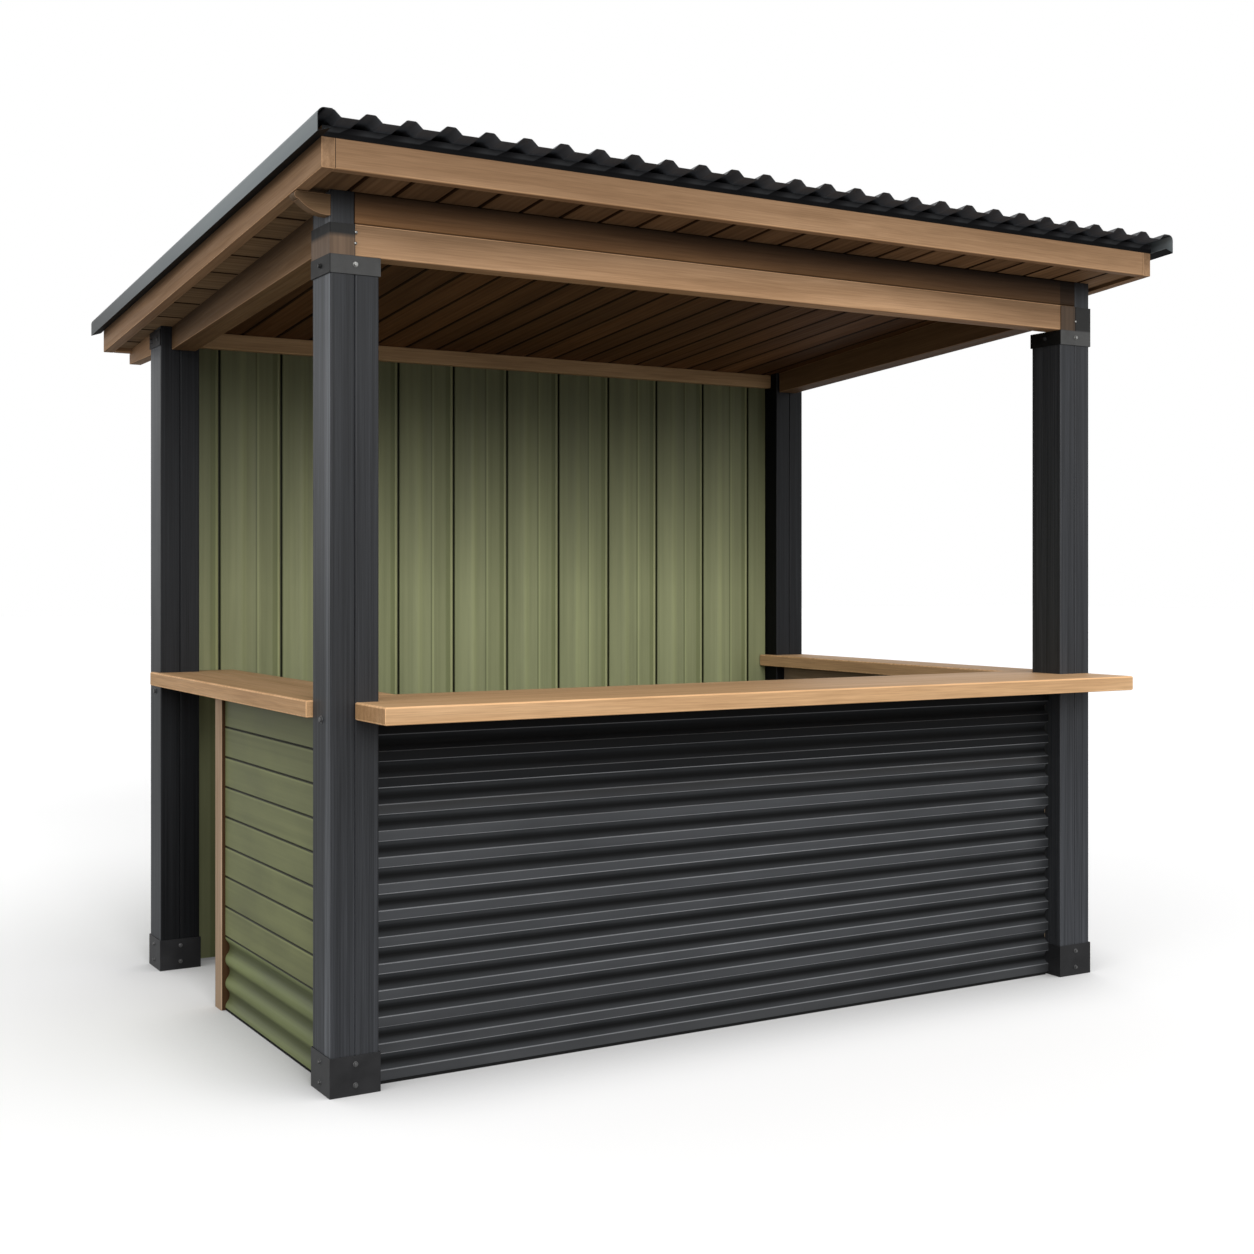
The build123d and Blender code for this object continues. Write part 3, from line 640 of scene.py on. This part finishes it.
# The side eaves' boards: a lighter copy of the front boards' stain as painted light, with painted shade
# over the right eave.
soffit_stain = timber("stained_eave_boards_painted_light_and_shade", "X", toned(SOFFIT_TONES, 1.35, 1.52, 1.62), figure=0.5,
                      fibre=0.25, rough=(0.6, 0.75), board_tone=0.12, specular=0.12,
                      shades=[((1, 0, 0), 1.38, 1.44, 1.0, 0.45)])
# Ceiling boards: dark stain, made darker than the eave boards as painted shade under the roof, with painted
# shade towards both sides.
ceiling_stain = timber("stained_ceiling_boards_painted_shade", "Y", CEILING_TONES, pitch=ROOF_PITCH, figure=0.6,
                       fibre=0.3, rough=(0.6, 0.75), board_tone=0.25, specular=0.12,
                       shades=[((1, 0, 0), -1.2, 0.0, 0.82, 1.04), ((1, 0, 0), 0.6, 1.4, 1.0, 0.84)])
# Painted light on the front soffit boards, growing towards the right.
front_soffit_stain = timber("stained_front_boards_painted_light", "Y", SOFFIT_TONES, pitch=ROOF_PITCH, figure=0.5,
                            fibre=0.25, rough=(0.6, 0.75), board_tone=0.12, specular=0.12,
                            shades=[((1, 0, 0), 0.2, 1.3, 0.86, 1.65)])
joint_shade = timber("dark_board_joint", "Y", toned(CEILING_TONES, 0.22), pitch=ROOF_PITCH, specular=0.05)
# The purlins near-black as painted shade, where they show through the ribs at the eaves.
purlins_painted_shade = timber("purlins_black_as_painted_shade", "X", toned(ROUGH_TONES, 0.05), rough=(0.75, 0.9), specular=0.05)
rough_wood = {run: timber(name, run, ROUGH_TONES, rough=(0.75, 0.9), bump=0.5)
              for run, name in (("X", "sawn_wood_along"), ("Y", "sawn_wood_across"))}
roof_paint = sheet_paint("black_roof_paint", "Y", (0.022, 0.023, 0.025), rough=(0.38, 0.5), specular=0.4)
# Painted light on the roof sheet's underside at the front edge, with painted shade behind it and at its
# left edge.
roof_underside = sheet_paint("roof_underside_painted_light_and_shade", "Y", (0.085, 0.092, 0.104), rough=(0.5, 0.6),
                             specular=0.1, tones=[((0, 1, 0), -1.19, -1.15, 1.0, 0.08),
                                                  ((1, 0, 0), -1.585, -1.575, 0.05, 1.0)])
# The flashings' downward and front-end faces near-black, as painted shade.
flange_paint = cast_metal("black_flange_as_painted_shade", (0.0075, 0.0085, 0.0090), rough=0.55, specular=0.08)
# A black strip standing in for the shadow in the gap under the panels.
gap_shadow_strip = cast_metal("black_strip_as_gap_shadow", (0.008, 0.008, 0.008), rough=0.7, specular=0.1)
green_screws = sheet_paint("green_screw_paint", "Y", LEFT_GREEN_PAINT, specular=0.3)
boot_coat = cast_metal("black_boot_coat", (0.010, 0.010, 0.011), rough=0.48, specular=0.35)
# Painted light on the left faces of the left boots: a lighter copy of the boot coat.
lit_boot_coat = cast_metal("boot_side_painted_light", (0.050, 0.051, 0.053), rough=0.48, specular=0.35)
plate_coat = cast_metal("dark_plate_coat", (0.014, 0.014, 0.015), rough=0.5, specular=0.25)
bolt_zinc = cast_metal("bright_bolt_zinc", (0.26, 0.26, 0.25), rough=0.4, metallic=1.0)
bolt_black = cast_metal("black_bolt_coat", (0.030, 0.030, 0.030), rough=0.45, metallic=0.3, specular=0.2)
bolt_dark = cast_metal("dark_bolt_coat", (0.12, 0.12, 0.12), rough=0.36, metallic=0.6)


# Timber, steel and sheets on their CAD shapes, with eased edges

PLANED_EDGE = 0.0022
FINE_EDGE = 0.0015
POST_EDGE = 0.0018
SAWN_EDGE = 0.002
STEEL_EDGE = 0.001
FOLDED_EDGE = 0.0005
SHEET_EDGE = 0.0004
COUNTER_EDGE = 0.0028
SHOULDER_FROM = 0.0003
SHOULDER_TO = 0.0030
STRIP_EDGE = 0.001
STRIP_END = 0.012
STRIP_FACE = 0.002
STRIP_BACK = 0.012


def eased(node, finish, width, segments=2, arris=None, parts=()):
    """A node's shape with eased edges, its finish, and finishes of their own on some of its faces.

    Each of the parts is a finish and a test of a face's centre and normal.
    """
    piece = merged_copy(node, node + "_finished")
    coat(piece, finish, *([arris] if arris else []), *[part for part, test in parts])
    first = len(piece.data.materials) - len(parts)
    for place, (part, test) in enumerate(parts):
        for face in piece.data.polygons:
            if test(face.center, face.normal):
                face.material_index = first + place
    ease(piece, width, segments, arris=1 if arris else -1)
    mark_board(piece, random.random())
    return dress(piece, SLOT_OF[node], node)


def faces_left(centre, normal):
    return normal.x < -0.9


def faces_front(centre, normal):
    return normal.y < -0.9


def darken_joint(piece, test):
    """Dark joint wood on the eased edges that pass the test."""
    piece.data.materials.append(cedar_joint)
    for face in piece.data.polygons:
        if face.material_index == 1 and test(face.center, face.normal):
            face.material_index = 2


def finish_cedar():
    for node in ("fascia_front", "fascia_back"):
        piece = eased(node, cedar["X"], PLANED_EDGE, arris=cedar_arris)
        darken_joint(piece, lambda centre, normal: abs(normal.z) < 0.2)
    eased("scroll_end_left", cedar_scroll, PLANED_EDGE, arris=cedar["X"])
    piece = eased("header_front_lower", cedar_header_painted_light_and_shade, PLANED_EDGE, arris=cedar_arris)
    darken_joint(piece, lambda centre, normal: centre.z > HEAD_JOINT_HEIGHT - 0.004)
    eased("header_tails_back", cedar["Y"], PLANED_EDGE, arris=cedar_arris)
    eased("fascia_left", cedar_rake, PLANED_EDGE, arris=cedar_arris)
    eased("fascia_right", cedar_rake, PLANED_EDGE, arris=cedar_arris, parts=[(cedar_inner, faces_left)])
    eased("header_front_upper", cedar_shaded, FINE_EDGE)
    eased("header_back", cedar_rail, FINE_EDGE)
    eased("header_left", cedar_side, PLANED_EDGE, arris=cedar["Y"])
    eased("header_right", cedar_inner, PLANED_EDGE, arris=cedar["Y"])
    eased("jamb_left", jamb_face, FINE_EDGE, parts=[(jamb_shade, faces_front)])


def finish_posts():
    for node in sorted(SLOT_OF):
        if SLOT_OF[node] == "post_timber":
            paint = back_post_paint if "back" in node else post_paint
            side_paint = lit_post_paint if "left" in node else inner_post_paint
            if node.startswith("post_back_right"):
                side_paint = back_inner_paint
            eased(node, paint, POST_EDGE, parts=[(side_paint, faces_left)])


def finish_sawn_wood():
    eased("roof_purlins", purlins_painted_shade, SAWN_EDGE)
    for node in ("rails_front", "wall_girts"):
        eased(node, rough_wood["X"], SAWN_EDGE)
    eased("rails_sides", rough_wood["Y"], SAWN_EDGE)


def finish_steel():
    """Boots, front bands and back plates; the left boots carry painted light on their left faces, and the
    bands painted shade on their left faces and painted light on their other faces.
    """
    for node in sorted(SLOT_OF):
        if SLOT_OF[node] == "boot_steel":
            parts = [(lit_boot_coat, faces_left)] if "left" in node else ()
            eased(node, boot_coat, STEEL_EDGE, parts=parts)
    wear_and_painted_shade = {"left": (LEFT_SEAM, 0.62, 1.0, 0.21, 1.25), "right": (RIGHT_SEAM, 1.2, 0.5, 0.12, 1.5)}
    for side, (seam, brown_share, brown_tone, left_face_painted_shade, painted_light_elsewhere) in wear_and_painted_shade.items():
        node = f"head_band_front_{side}"
        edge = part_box(node)[0].x
        shades = [((1, 0, 0), edge + 0.001, edge + 0.004, left_face_painted_shade, painted_light_elsewhere)]
        eased(node, worn_band(f"worn_band_{side}", seam, brown_share, brown_tone, shades), STEEL_EDGE)
    for side in ("left", "right"):
        eased(f"head_plate_back_{side}", plate_coat, STEEL_EDGE)


def lower_fold(piece, test):
    """The outer fold of a flashing, the points that pass the test, lowered so that its face is taller."""
    edit(piece, "VERT")
    choose_points(piece, test)
    bpy.ops.transform.translate(value=(0, 0, -FOLD_DROP))
    bpy.ops.object.mode_set(mode="OBJECT")


def finish_roof():
    eased("roof_sheet", roof_paint, SHEET_EDGE, 1, parts=[
        (roof_underside, lambda centre, normal: normal.z < -0.1)])
    eased("drip_front", rib_shaded_drip("black_drip_with_painted_rib_shade"), FOLDED_EDGE)
    for side in ("left", "right"):
        low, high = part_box(f"flashing_{side}")
        foot, top = low.z + high.y * SLOPE, high.z + low.y * SLOPE
        outer = low.x if side == "left" else high.x
        paint = flashing_paint(f"flashing_paint_{side}", foot, top)
        piece = eased(f"flashing_{side}", paint, FOLDED_EDGE, parts=[
            (flange_paint, lambda centre, normal: normal.z < -0.9 or normal.y < -0.9)])
        lower_fold(piece, lambda place: place.z + place.y * SLOPE < foot + FOLD_REACH
                   and abs(place.x - outer) < FOLD_REACH)


def finish_left_panel():
    """Green boards with painted shade in their grooves, a painted highlight just below each groove and
    painted shade under the counter, above round waves with painted highlights on their crests and painted
    shade in their troughs.
    """
    low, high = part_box("panel_left")
    board = (high.z - WAVES_TOP) / GROOVE_COUNT
    # Painted shade in each groove and a painted highlight on the lip just below it.
    lines = [(0.0, 0.13), (0.030, 0.13), (0.042, 1.0), (0.88, 1.0), (0.915, 1.32), (0.950, 1.32),
             (0.964, 0.13)]
    grooves = ((0, 0, 1), WAVES_TOP, board, [(place, (tone, tone, tone * 0.94)) for place, tone in lines])
    grooved = sheet_paint("green_side_paint", "Y", LEFT_GREEN_PAINT, spread=0.24, rough=(0.42, 0.56),
                          specular=0.22, dust=0.04, bands=grooves,
                          tones=[((0, 0, 1), high.z - 0.26, high.z - 0.02, 1.0, 0.50)])
    # Painted highlights on the wave crests and painted shade in their troughs.
    waves = sheet_paint("green_paint_on_waves", "Y", tinted(LEFT_GREEN_PAINT, 0.92, 0.99, 0.86),
                        rough=(0.42, 0.56), specular=0.2, dust=0.04,
                        tones=[((1, 0, 0), low.x + 0.001, low.x + 0.014, 1.12, 0.5)])
    eased("panel_left", grooved, SHEET_EDGE, 1, parts=[
        (waves, lambda centre, normal: centre.z < WAVES_TOP - 0.002 and normal.x < 0.2)])


def finish_wall():
    """The wall's two sheets, the inner one with painted shade towards its top."""
    inner_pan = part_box("wall_sheet_inner")[0].y + WALL_BEAD
    outer_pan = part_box("wall_sheet_outer")[1].y - WALL_BEAD
    painted_shade_at_top = [((0, 0, 1), 1.40, 2.15, 1.0, 0.53)]
    inner = rolled_wall_paint("green_inner_wall_paint", GREEN_PAINT, inner_pan, 1, painted_shade_at_top)
    outer = rolled_wall_paint("green_outer_wall_paint", GREEN_PAINT, outer_pan, -1)
    eased("wall_sheet_inner", inner, SHEET_EDGE, 1)
    eased("wall_sheet_outer", outer, SHEET_EDGE, 1)


def trough_painted_shade(name, foot, top):
    """Dull charcoal in the troughs with painted shade: darkest low down in each, greyer towards both
    crests, and darker under the counter.
    """
    mix = Mixer(name)
    cloud = mix.noise(mix.object_place(), 5, 4, 0.6, 0.3)
    colour = mix.ramp(cloud, [(0.3, (0.85, 0.90, 0.96)), (0.7, (1.10, 1.15, 1.22))])
    depths = [(0.0, 0.055), (0.09, 0.034), (0.21, 0.006), (0.30, 0.0035), (0.42, 0.020), (0.60, 0.085)]
    stops = [(place, (tone, tone, tone)) for place, tone in depths]
    colour = mix.banded(colour, ((0, 0, 1), foot, CREST_PITCH, stops))
    colour = mix.shaded(colour, [((0, 0, 1), top - 0.30, top - 0.12, 1.0, 0.30)])
    return mix.finish(colour, mix.span(cloud, 0.3, 0.7, 0.55, 0.68), specular=0.08)


def ribbed_panel(node, run, depth):
    """A box-ribbed panel: satin crests with painted highlights on their edges, painted shade in the troughs
    and under the counter, and painted shade towards the right and the foot.
    """
    name = f"charcoal_{node}"
    low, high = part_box(node)
    top = high.z
    # Painted shade towards the right end and at the foot, and over the upper crests and edge lines under
    # the counter.
    painted_shade_right_end = ((1, 0, 0), 1.20, 1.32, 1.0, 0.45)
    painted_shade_at_foot = ((0, 0, 1), low.z + 0.05, low.z + 0.40, 0.78, 1.0)
    side = [((0, 0, 1), top - 0.30, top - 0.26, 1.0, 0.20), painted_shade_right_end, painted_shade_at_foot]
    lines = [((0, 0, 1), top - 0.30, top - 0.10, 1.0, 0.30), painted_shade_right_end, painted_shade_at_foot]
    crests = sheet_paint(f"{name}_crests", run, CHARCOAL_PAINT, rough=(0.34, 0.46), dust=0.03, tones=side)
    troughs = trough_painted_shade(f"{name}_troughs", low.z + CREST_HEM, top)
    upper_edge_highlight = sheet_paint(f"{name}_upper_edge_highlight", run, (0.190, 0.196, 0.205), specular=0.3, tones=lines)
    lower_edge_highlight = sheet_paint(f"{name}_lower_edge_highlight", run, (0.380, 0.390, 0.405), specular=0.3, tones=lines)
    shaded = sheet_paint(f"{name}_painted_shade_under_counter", run, tinted(CHARCOAL_PAINT, 0.22), rough=(0.5, 0.6),
                         specular=0.10, tones=[((0, 0, 1), top - 0.16, top - 0.12, 1.0, 0.4)])

    def on_shoulder(centre):
        return SHOULDER_FROM < depth(centre) < SHOULDER_TO

    eased(node, crests, SHEET_EDGE, 1, parts=[
        (upper_edge_highlight, lambda centre, normal: on_shoulder(centre) and normal.z > 0.3),
        (lower_edge_highlight, lambda centre, normal: on_shoulder(centre) and normal.z < -0.3),
        (troughs, lambda centre, normal: depth(centre) > SHOULDER_TO),
        (shaded, lambda centre, normal: centre.z > top - 0.19 and depth(centre) <= SHOULDER_FROM)])


def finish_ribbed_panels():
    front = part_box("panel_front")[0].y
    ribbed_panel("panel_front", "X", lambda centre: centre.y - front)
    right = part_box("panel_right")[1].x
    ribbed_panel("panel_right", "Y", lambda centre: right - centre.x)


def foot_strip(name, low, high):
    """A black strip that closes the gap between a panel and the ground, standing in for the shadow there.
    """
    strip = block(name, low, high)
    coat(strip, gap_shadow_strip)
    ease(strip, STRIP_EDGE)
    dress(strip, "charcoal_sheet")


def foot_strips():
    low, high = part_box("panel_front")
    foot_strip("foot_strip_front", (low.x + STRIP_END, low.y + STRIP_FACE, 0),
               (high.x - STRIP_END, low.y + STRIP_BACK, low.z))
    low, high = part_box("panel_right")
    foot_strip("foot_strip_right", (high.x - STRIP_BACK, low.y + STRIP_END, 0),
               (high.x - STRIP_FACE, high.y - STRIP_END, low.z))
    low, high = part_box("panel_left")
    foot_strip("foot_strip_left", (low.x + STRIP_FACE, low.y + STRIP_END, 0),
               (low.x + STRIP_BACK, high.y, low.z))


def finish_counters():
    """Oak slabs; the front one shows its end grain on the left."""
    eased("counter_front", oak["X"], COUNTER_EDGE, arris=oak_arris, parts=[(oak_end, faces_left)])
    for node in ("counter_left", "counter_right"):
        eased(node, oak["Y"], COUNTER_EDGE, arris=oak_arris)


# Ceiling boards

BOARD_PITCH = 0.1344
EAVE_PITCH = 0.2175
EAVE_EDGE = 1.411
EAVE_START = -0.8975
JOINT_VEE = 0.008


def slope_down(piece, level):
    """Drops a level piece to the fall of the roof, from its height at the line y = level."""
    for point in piece.data.vertices:
        point.co.z += (level - point.co.y) * SLOPE


def vee_edges(piece, test):
    """Planes the chosen lower edges of a board, in the dark finish of a joint."""
    edit(piece)
    choose_edges(piece, test)
    bpy.ops.mesh.bevel(offset=JOINT_VEE, segments=2, profile=0.5, affect="EDGES", material=1)
    bpy.ops.object.mode_set(mode="OBJECT")


def ceiling_strip(low, high, run, stain):
    """One board with V joints along its run, its tone and its grain set by chance."""
    board = block("board", low, high)
    coat(board, stain, joint_shade)
    middle = (low[2] + high[2]) / 2
    across = 0 if run == "Y" else 1
    vee_edges(board, lambda a, b: abs(a[across] - b[across]) < 0.001 and a.z < middle and b.z < middle)
    mark_board(board, random.random())
    return board


def ceiling_boards():
    """Boards from front to back between the side headers, and short boards across the side eaves."""
    low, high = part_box("ceiling_deck")
    thick = high.z - low.z - (high.y - low.y) * SLOPE
    foot, top = low.z, low.z + thick
    front_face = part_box("header_front_upper")[0].y
    boards = []
    count = round(2 * EAVE_EDGE / BOARD_PITCH)
    edges = [-EAVE_EDGE + i * 2 * EAVE_EDGE / count for i in range(count + 1)]
    for left, right in zip(edges, edges[1:]):
        boards.append(ceiling_strip((left, front_face, foot), (right, high.y, top), "Y", ceiling_stain))
        boards.append(ceiling_strip((left, low.y, foot), (right, front_face, top), "Y", front_soffit_stain))
    for near, far in ((low.x, -EAVE_EDGE), (EAVE_EDGE, high.x)):
        boards.append(ceiling_strip((near, low.y, foot), (far, EAVE_START, top), "Y", front_soffit_stain))
        y = EAVE_START
        while y < high.y - 0.001:
            end = min(y + EAVE_PITCH, high.y)
            boards.append(ceiling_strip((near, y, foot), (far, end, top), "X", soffit_stain))
            y = end
    for board in boards:
        slope_down(board, high.y)
    whole = join(boards, "ceiling_boards")
    even_shade(whole)
    dress(whole, "ceiling_boards", "ceiling_deck")


# Bolts and screws

WASHER_THICKNESS = 0.0016
WASHER_EDGE = 0.0004
HEAD_SEAT = 0.0015
HEAD_EDGE = 0.0008
BOOT_BOLT_LEVELS = (0.029, 0.088)
BAND_BOLT_LEVEL = 0.028
PLATE_BOLT_EDGE = 0.03
PLATE_BOLT_TOP = 0.035
COACH_BOLT_HEIGHTS = (("front", 1.05), ("back", 1.028))
ROOF_SCREW_ROWS = (-1.05, -0.50, 0.05, 0.60, 1.10)
ROOF_SCREW_STEP = 3
WALL_SCREW_HEIGHTS = (0.35, 1.0, 1.65, 2.2)
WALL_SCREW_OFF_SEAM = 0.03
SEAMS_EACH_SIDE = 5

FACING = {
    "front": Matrix.Rotation(math.radians(90), 4, "X"),
    "back": Matrix.Rotation(math.radians(-90), 4, "X"),
    "left": Matrix.Rotation(math.radians(-90), 4, "Y"),
    "right": Matrix.Rotation(math.radians(90), 4, "Y"),
    "up": Matrix.Rotation(-ROOF_PITCH, 4, "X"),
}


def cylinder(radius, depth, foot, sides):
    """An upright primitive cylinder that stands at a height, ready to be shaped."""
    deselect()
    bpy.ops.mesh.primitive_cylinder_add(vertices=sides, radius=radius, depth=depth,
                                        location=(0, 0, foot + depth / 2))
    piece = bpy.context.object
    settle(piece)
    return piece


def bolt(name, head_radius, washer_radius, head_height=0.0055):
    """A hexagon head on a washer, lying on the ground with its head up."""
    disc = cylinder(washer_radius, WASHER_THICKNESS, 0, 20)
    ease(disc, WASHER_EDGE, 1)
    head = cylinder(head_radius, head_height, HEAD_SEAT, 6)
    ease(head, HEAD_EDGE)
    return join([head, disc], name)


def dome_screw(name, radius):
    """A low round head with a raised crown and a round recess in it."""
    head = cylinder(radius, radius * 0.5, 0, 16)
    head.name = name
    edit(head, "FACE")
    choose_faces(head, lambda centre, normal: normal.z > 0.9)
    bpy.ops.mesh.inset(thickness=radius * 0.3, depth=radius * 0.14)
    bpy.ops.mesh.inset(thickness=radius * 0.32, depth=radius * 0.04)
    bpy.ops.mesh.inset(thickness=radius * 0.04, depth=-radius * 0.16)
    bpy.ops.object.mode_set(mode="OBJECT")
    ease(head, radius * 0.06, 1, 40)
    return head


def fasten(name, pattern, spots, finish, slot):
    """Copies of one fixing at many spots, each turned to its face and by a chance angle."""
    copies = []
    for face, place in spots:
        spin = Matrix.Rotation(random.uniform(0, math.pi / 3), 4, "Z")
        copies.append(copied(pattern, FACING[face] @ spin, Vector(place)))
    whole = join(copies, name)
    coat(whole, finish)
    dress(whole, slot)
    bpy.data.objects.remove(pattern)


def boot_bolts():
    """Two bolts up each face of each boot."""
    spots = []
    for row in ("front", "back"):
        for side in ("left", "right"):
            low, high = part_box(f"boot_{row}_{side}")
            mid_x, mid_y = (low.x + high.x) / 2, (low.y + high.y) / 2
            for z in BOOT_BOLT_LEVELS:
                spots.append(("front", (mid_x, low.y, z)))
                spots.append(("back", (mid_x, high.y, z)))
                spots.append(("left", (low.x, mid_y, z)))
                spots.append(("right", (high.x, mid_y, z)))
    fasten("boot_bolts", bolt("boot_bolt", 0.0058, 0.0078), spots, bolt_dark, "boot_steel")


def band_bolts():
    """A bright bolt on the seam of each front band, plain ones round it, and screws up the plate."""
    bright, plain, screws = [], [], []
    for side, seam in (("left", LEFT_SEAM), ("right", RIGHT_SEAM)):
        low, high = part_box(f"head_band_front_{side}")
        mid_y = (low.y + high.y) / 2
        z = low.z + BAND_BOLT_LEVEL
        bright.append(("front", (seam, low.y, z)))
        plain.append(("back", (seam, high.y, z)))
        plain.append(("left", (low.x, mid_y, z)))
        plain.append(("right", (high.x, mid_y, z)))
        screws.append(("front", (seam, low.y, BAND_TOP_HEIGHT + 0.035)))
    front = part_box("head_band_front_left")[0].y
    screws.append(("front", (LEFT_SEAM + 0.002, front, BAND_TOP_HEIGHT + 0.066)))
    fasten("band_bolts_bright", bolt("bright_bolt", 0.0062, 0.0078), bright, bolt_zinc, "band_steel")
    fasten("band_bolts_plain", bolt("plain_bolt", 0.0062, 0.0078), plain, bolt_black, "band_steel")
    fasten("band_screws", dome_screw("band_screw", 0.0042), screws, bolt_zinc, "band_steel")


def plate_bolts():
    """Six bolts on each back plate."""
    spots = []
    for side in ("left", "right"):
        low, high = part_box(f"head_plate_back_{side}")
        x = low.x if side == "left" else high.x
        for y in (low.y + PLATE_BOLT_EDGE, high.y - PLATE_BOLT_EDGE):
            for z in (low.z + PLATE_BOLT_EDGE, (low.z + high.z) / 2, high.z - PLATE_BOLT_TOP):
                spots.append((side, (x, y, z)))
    fasten("plate_bolts", bolt("plate_bolt", 0.005, 0.0068, 0.004), spots, bolt_dark, "band_steel")


def counter_bolts():
    """A coach bolt head on the outer face of each post, below the counters' tops."""
    spots = []
    for row, z in COACH_BOLT_HEIGHTS:
        for side in ("left", "right"):
            low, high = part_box(f"post_{row}_{side}_outer")
            x = low.x if side == "left" else high.x
            spots.append((side, (x, (low.y + high.y) / 2, z)))
    fasten("counter_bolts", bolt("coach_bolt", 0.0085, 0.0115), spots, bolt_dark, "boot_steel")


def roof_screws():
    """Screws on every third crown of the roof sheet."""
    low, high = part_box("roof_sheet")
    spots = []
    for y in ROOF_SCREW_ROWS:
        for i in range(1, RIB_COUNT - 1, ROOF_SCREW_STEP):
            spots.append(("up", (RIB_START + i * RIB_PITCH, y, high.z - (y - low.y) * SLOPE - 0.0003)))
    fasten("roof_screws", dome_screw("roof_screw", 0.0065), spots, bolt_dark, "roof_steel")


def wall_screws():
    """Screws beside the seams of the outer wall sheet."""
    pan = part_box("wall_sheet_outer")[1].y - WALL_BEAD
    spots = []
    for z in WALL_SCREW_HEIGHTS:
        for i in range(-SEAMS_EACH_SIDE, SEAMS_EACH_SIDE + 1):
            spots.append(("back", (i * WALL_SEAM_PITCH + WALL_SCREW_OFF_SEAM, pan, z)))
    fasten("wall_screws", dome_screw("wall_screw", 0.0055), spots, green_screws, "green_sheet")


finish_cedar()
finish_posts()
finish_sawn_wood()
finish_steel()
finish_roof()
finish_ribbed_panels()
finish_left_panel()
finish_wall()
finish_counters()
foot_strips()
ceiling_boards()
boot_bolts()
band_bolts()
plate_bolts()
counter_bolts()
roof_screws()
wall_screws()


# Floor, light and camera

AMBIENT = 0.42
FLOOR_LIFT = 0.10
FLOOR_BOUNCE = 0.36

PHOTO_PIXELS = 1254
FOCAL_PIXELS = 1664.7
HORIZON_ROW = 578.7
CAMERA_PLACE = (-3.1128, -5.3920, 1.4464)
CAMERA_YAW = math.radians(-30.631)


def white_world():
    """Even pale light, shown as pure white behind the bar and in its gloss."""
    world = bpy.data.worlds.new("studio_white")
    bpy.context.scene.world = world
    world.use_nodes = True
    tree = world.node_tree
    shade = tree.nodes["Background"]
    shade.inputs["Color"].default_value = (1, 1, 1, 1)
    path = tree.nodes.new("ShaderNodeLightPath")
    seen = path.outputs["Is Camera Ray"]
    for ray in ("Is Glossy Ray", "Is Transmission Ray"):
        either = tree.nodes.new("ShaderNodeMath")
        either.operation = "MAXIMUM"
        tree.links.new(seen, either.inputs[0])
        tree.links.new(path.outputs[ray], either.inputs[1])
        seen = either.outputs["Value"]
    level = tree.nodes.new("ShaderNodeMapRange")
    level.inputs["To Min"].default_value = AMBIENT
    level.inputs["To Max"].default_value = 1.0
    tree.links.new(seen, level.inputs["Value"])
    tree.links.new(level.outputs["Result"], shade.inputs["Strength"])


def pale_floor():
    """White floor that keeps the bar's shadow, with painted shadow near the bar from ambient occlusion, and
    throws back less light than it shows.
    """
    deselect()
    bpy.ops.mesh.primitive_plane_add(size=120, location=(0, 0, 0))
    floor = bpy.context.object
    floor.name = "studio_floor"
    mix = Mixer("studio_floor_white")
    mix.finish((FLOOR_BOUNCE, FLOOR_BOUNCE, FLOOR_BOUNCE), 0.9, specular=0.0)
    # Painted shadow: the shown floor darkens near the bar by ambient occlusion.
    near = mix.add("ShaderNodeAmbientOcclusion", {"Distance": 0.55}, samples=16).outputs["AO"]
    shown = mix.add("ShaderNodeBsdfDiffuse", {"Color": mix.span(near, 0.25, 0.92, 0.46, 0.98)})
    glow = mix.add("ShaderNodeEmission", {"Color": (1, 1, 1, 1), "Strength": FLOOR_LIFT})
    lit = mix.add("ShaderNodeAddShader", {0: shown.outputs["BSDF"], 1: glow.outputs["Emission"]})
    seen = mix.add("ShaderNodeLightPath").outputs["Is Camera Ray"]
    choice = mix.add("ShaderNodeMixShader", {0: seen, 1: mix.shader.outputs["BSDF"],
                                             2: lit.outputs["Shader"]})
    output = mix.tree.nodes["Material Output"]
    mix.tree.links.new(choice.outputs["Shader"], output.inputs["Surface"])
    coat(floor, mix.material)


def soft_sun(name, height, turn, spread, strength):
    """A wide, soft light from far away: its height and turn from the front, in degrees."""
    data = bpy.data.lights.new(name, "SUN")
    data.angle = math.radians(spread)
    data.energy = strength
    lamp = bpy.data.objects.new(name, data)
    bpy.context.scene.collection.objects.link(lamp)
    lamp.rotation_euler = (math.radians(90 - height), 0, math.radians(turn))


def photo_camera():
    """Level camera at the photograph's place, with its horizon above the middle."""
    data = bpy.data.cameras.new("photo_view")
    data.sensor_width = 36
    data.lens = FOCAL_PIXELS / PHOTO_PIXELS * data.sensor_width
    data.shift_y = (HORIZON_ROW - PHOTO_PIXELS / 2) / PHOTO_PIXELS
    camera = bpy.data.objects.new("photo_view", data)
    bpy.context.scene.collection.objects.link(camera)
    camera.location = CAMERA_PLACE
    camera.rotation_euler = (math.pi / 2, 0, CAMERA_YAW)
    bpy.context.scene.camera = camera


white_world()
pale_floor()
soft_sun("low_front_light", 17, -5, 28, 1.72)
soft_sun("high_front_light", 68, 18, 50, 1.2)
soft_sun("left_fill_light", 14, -72, 50, 1.0)
photo_camera()
bpy.context.scene.view_settings.view_transform = "Standard"
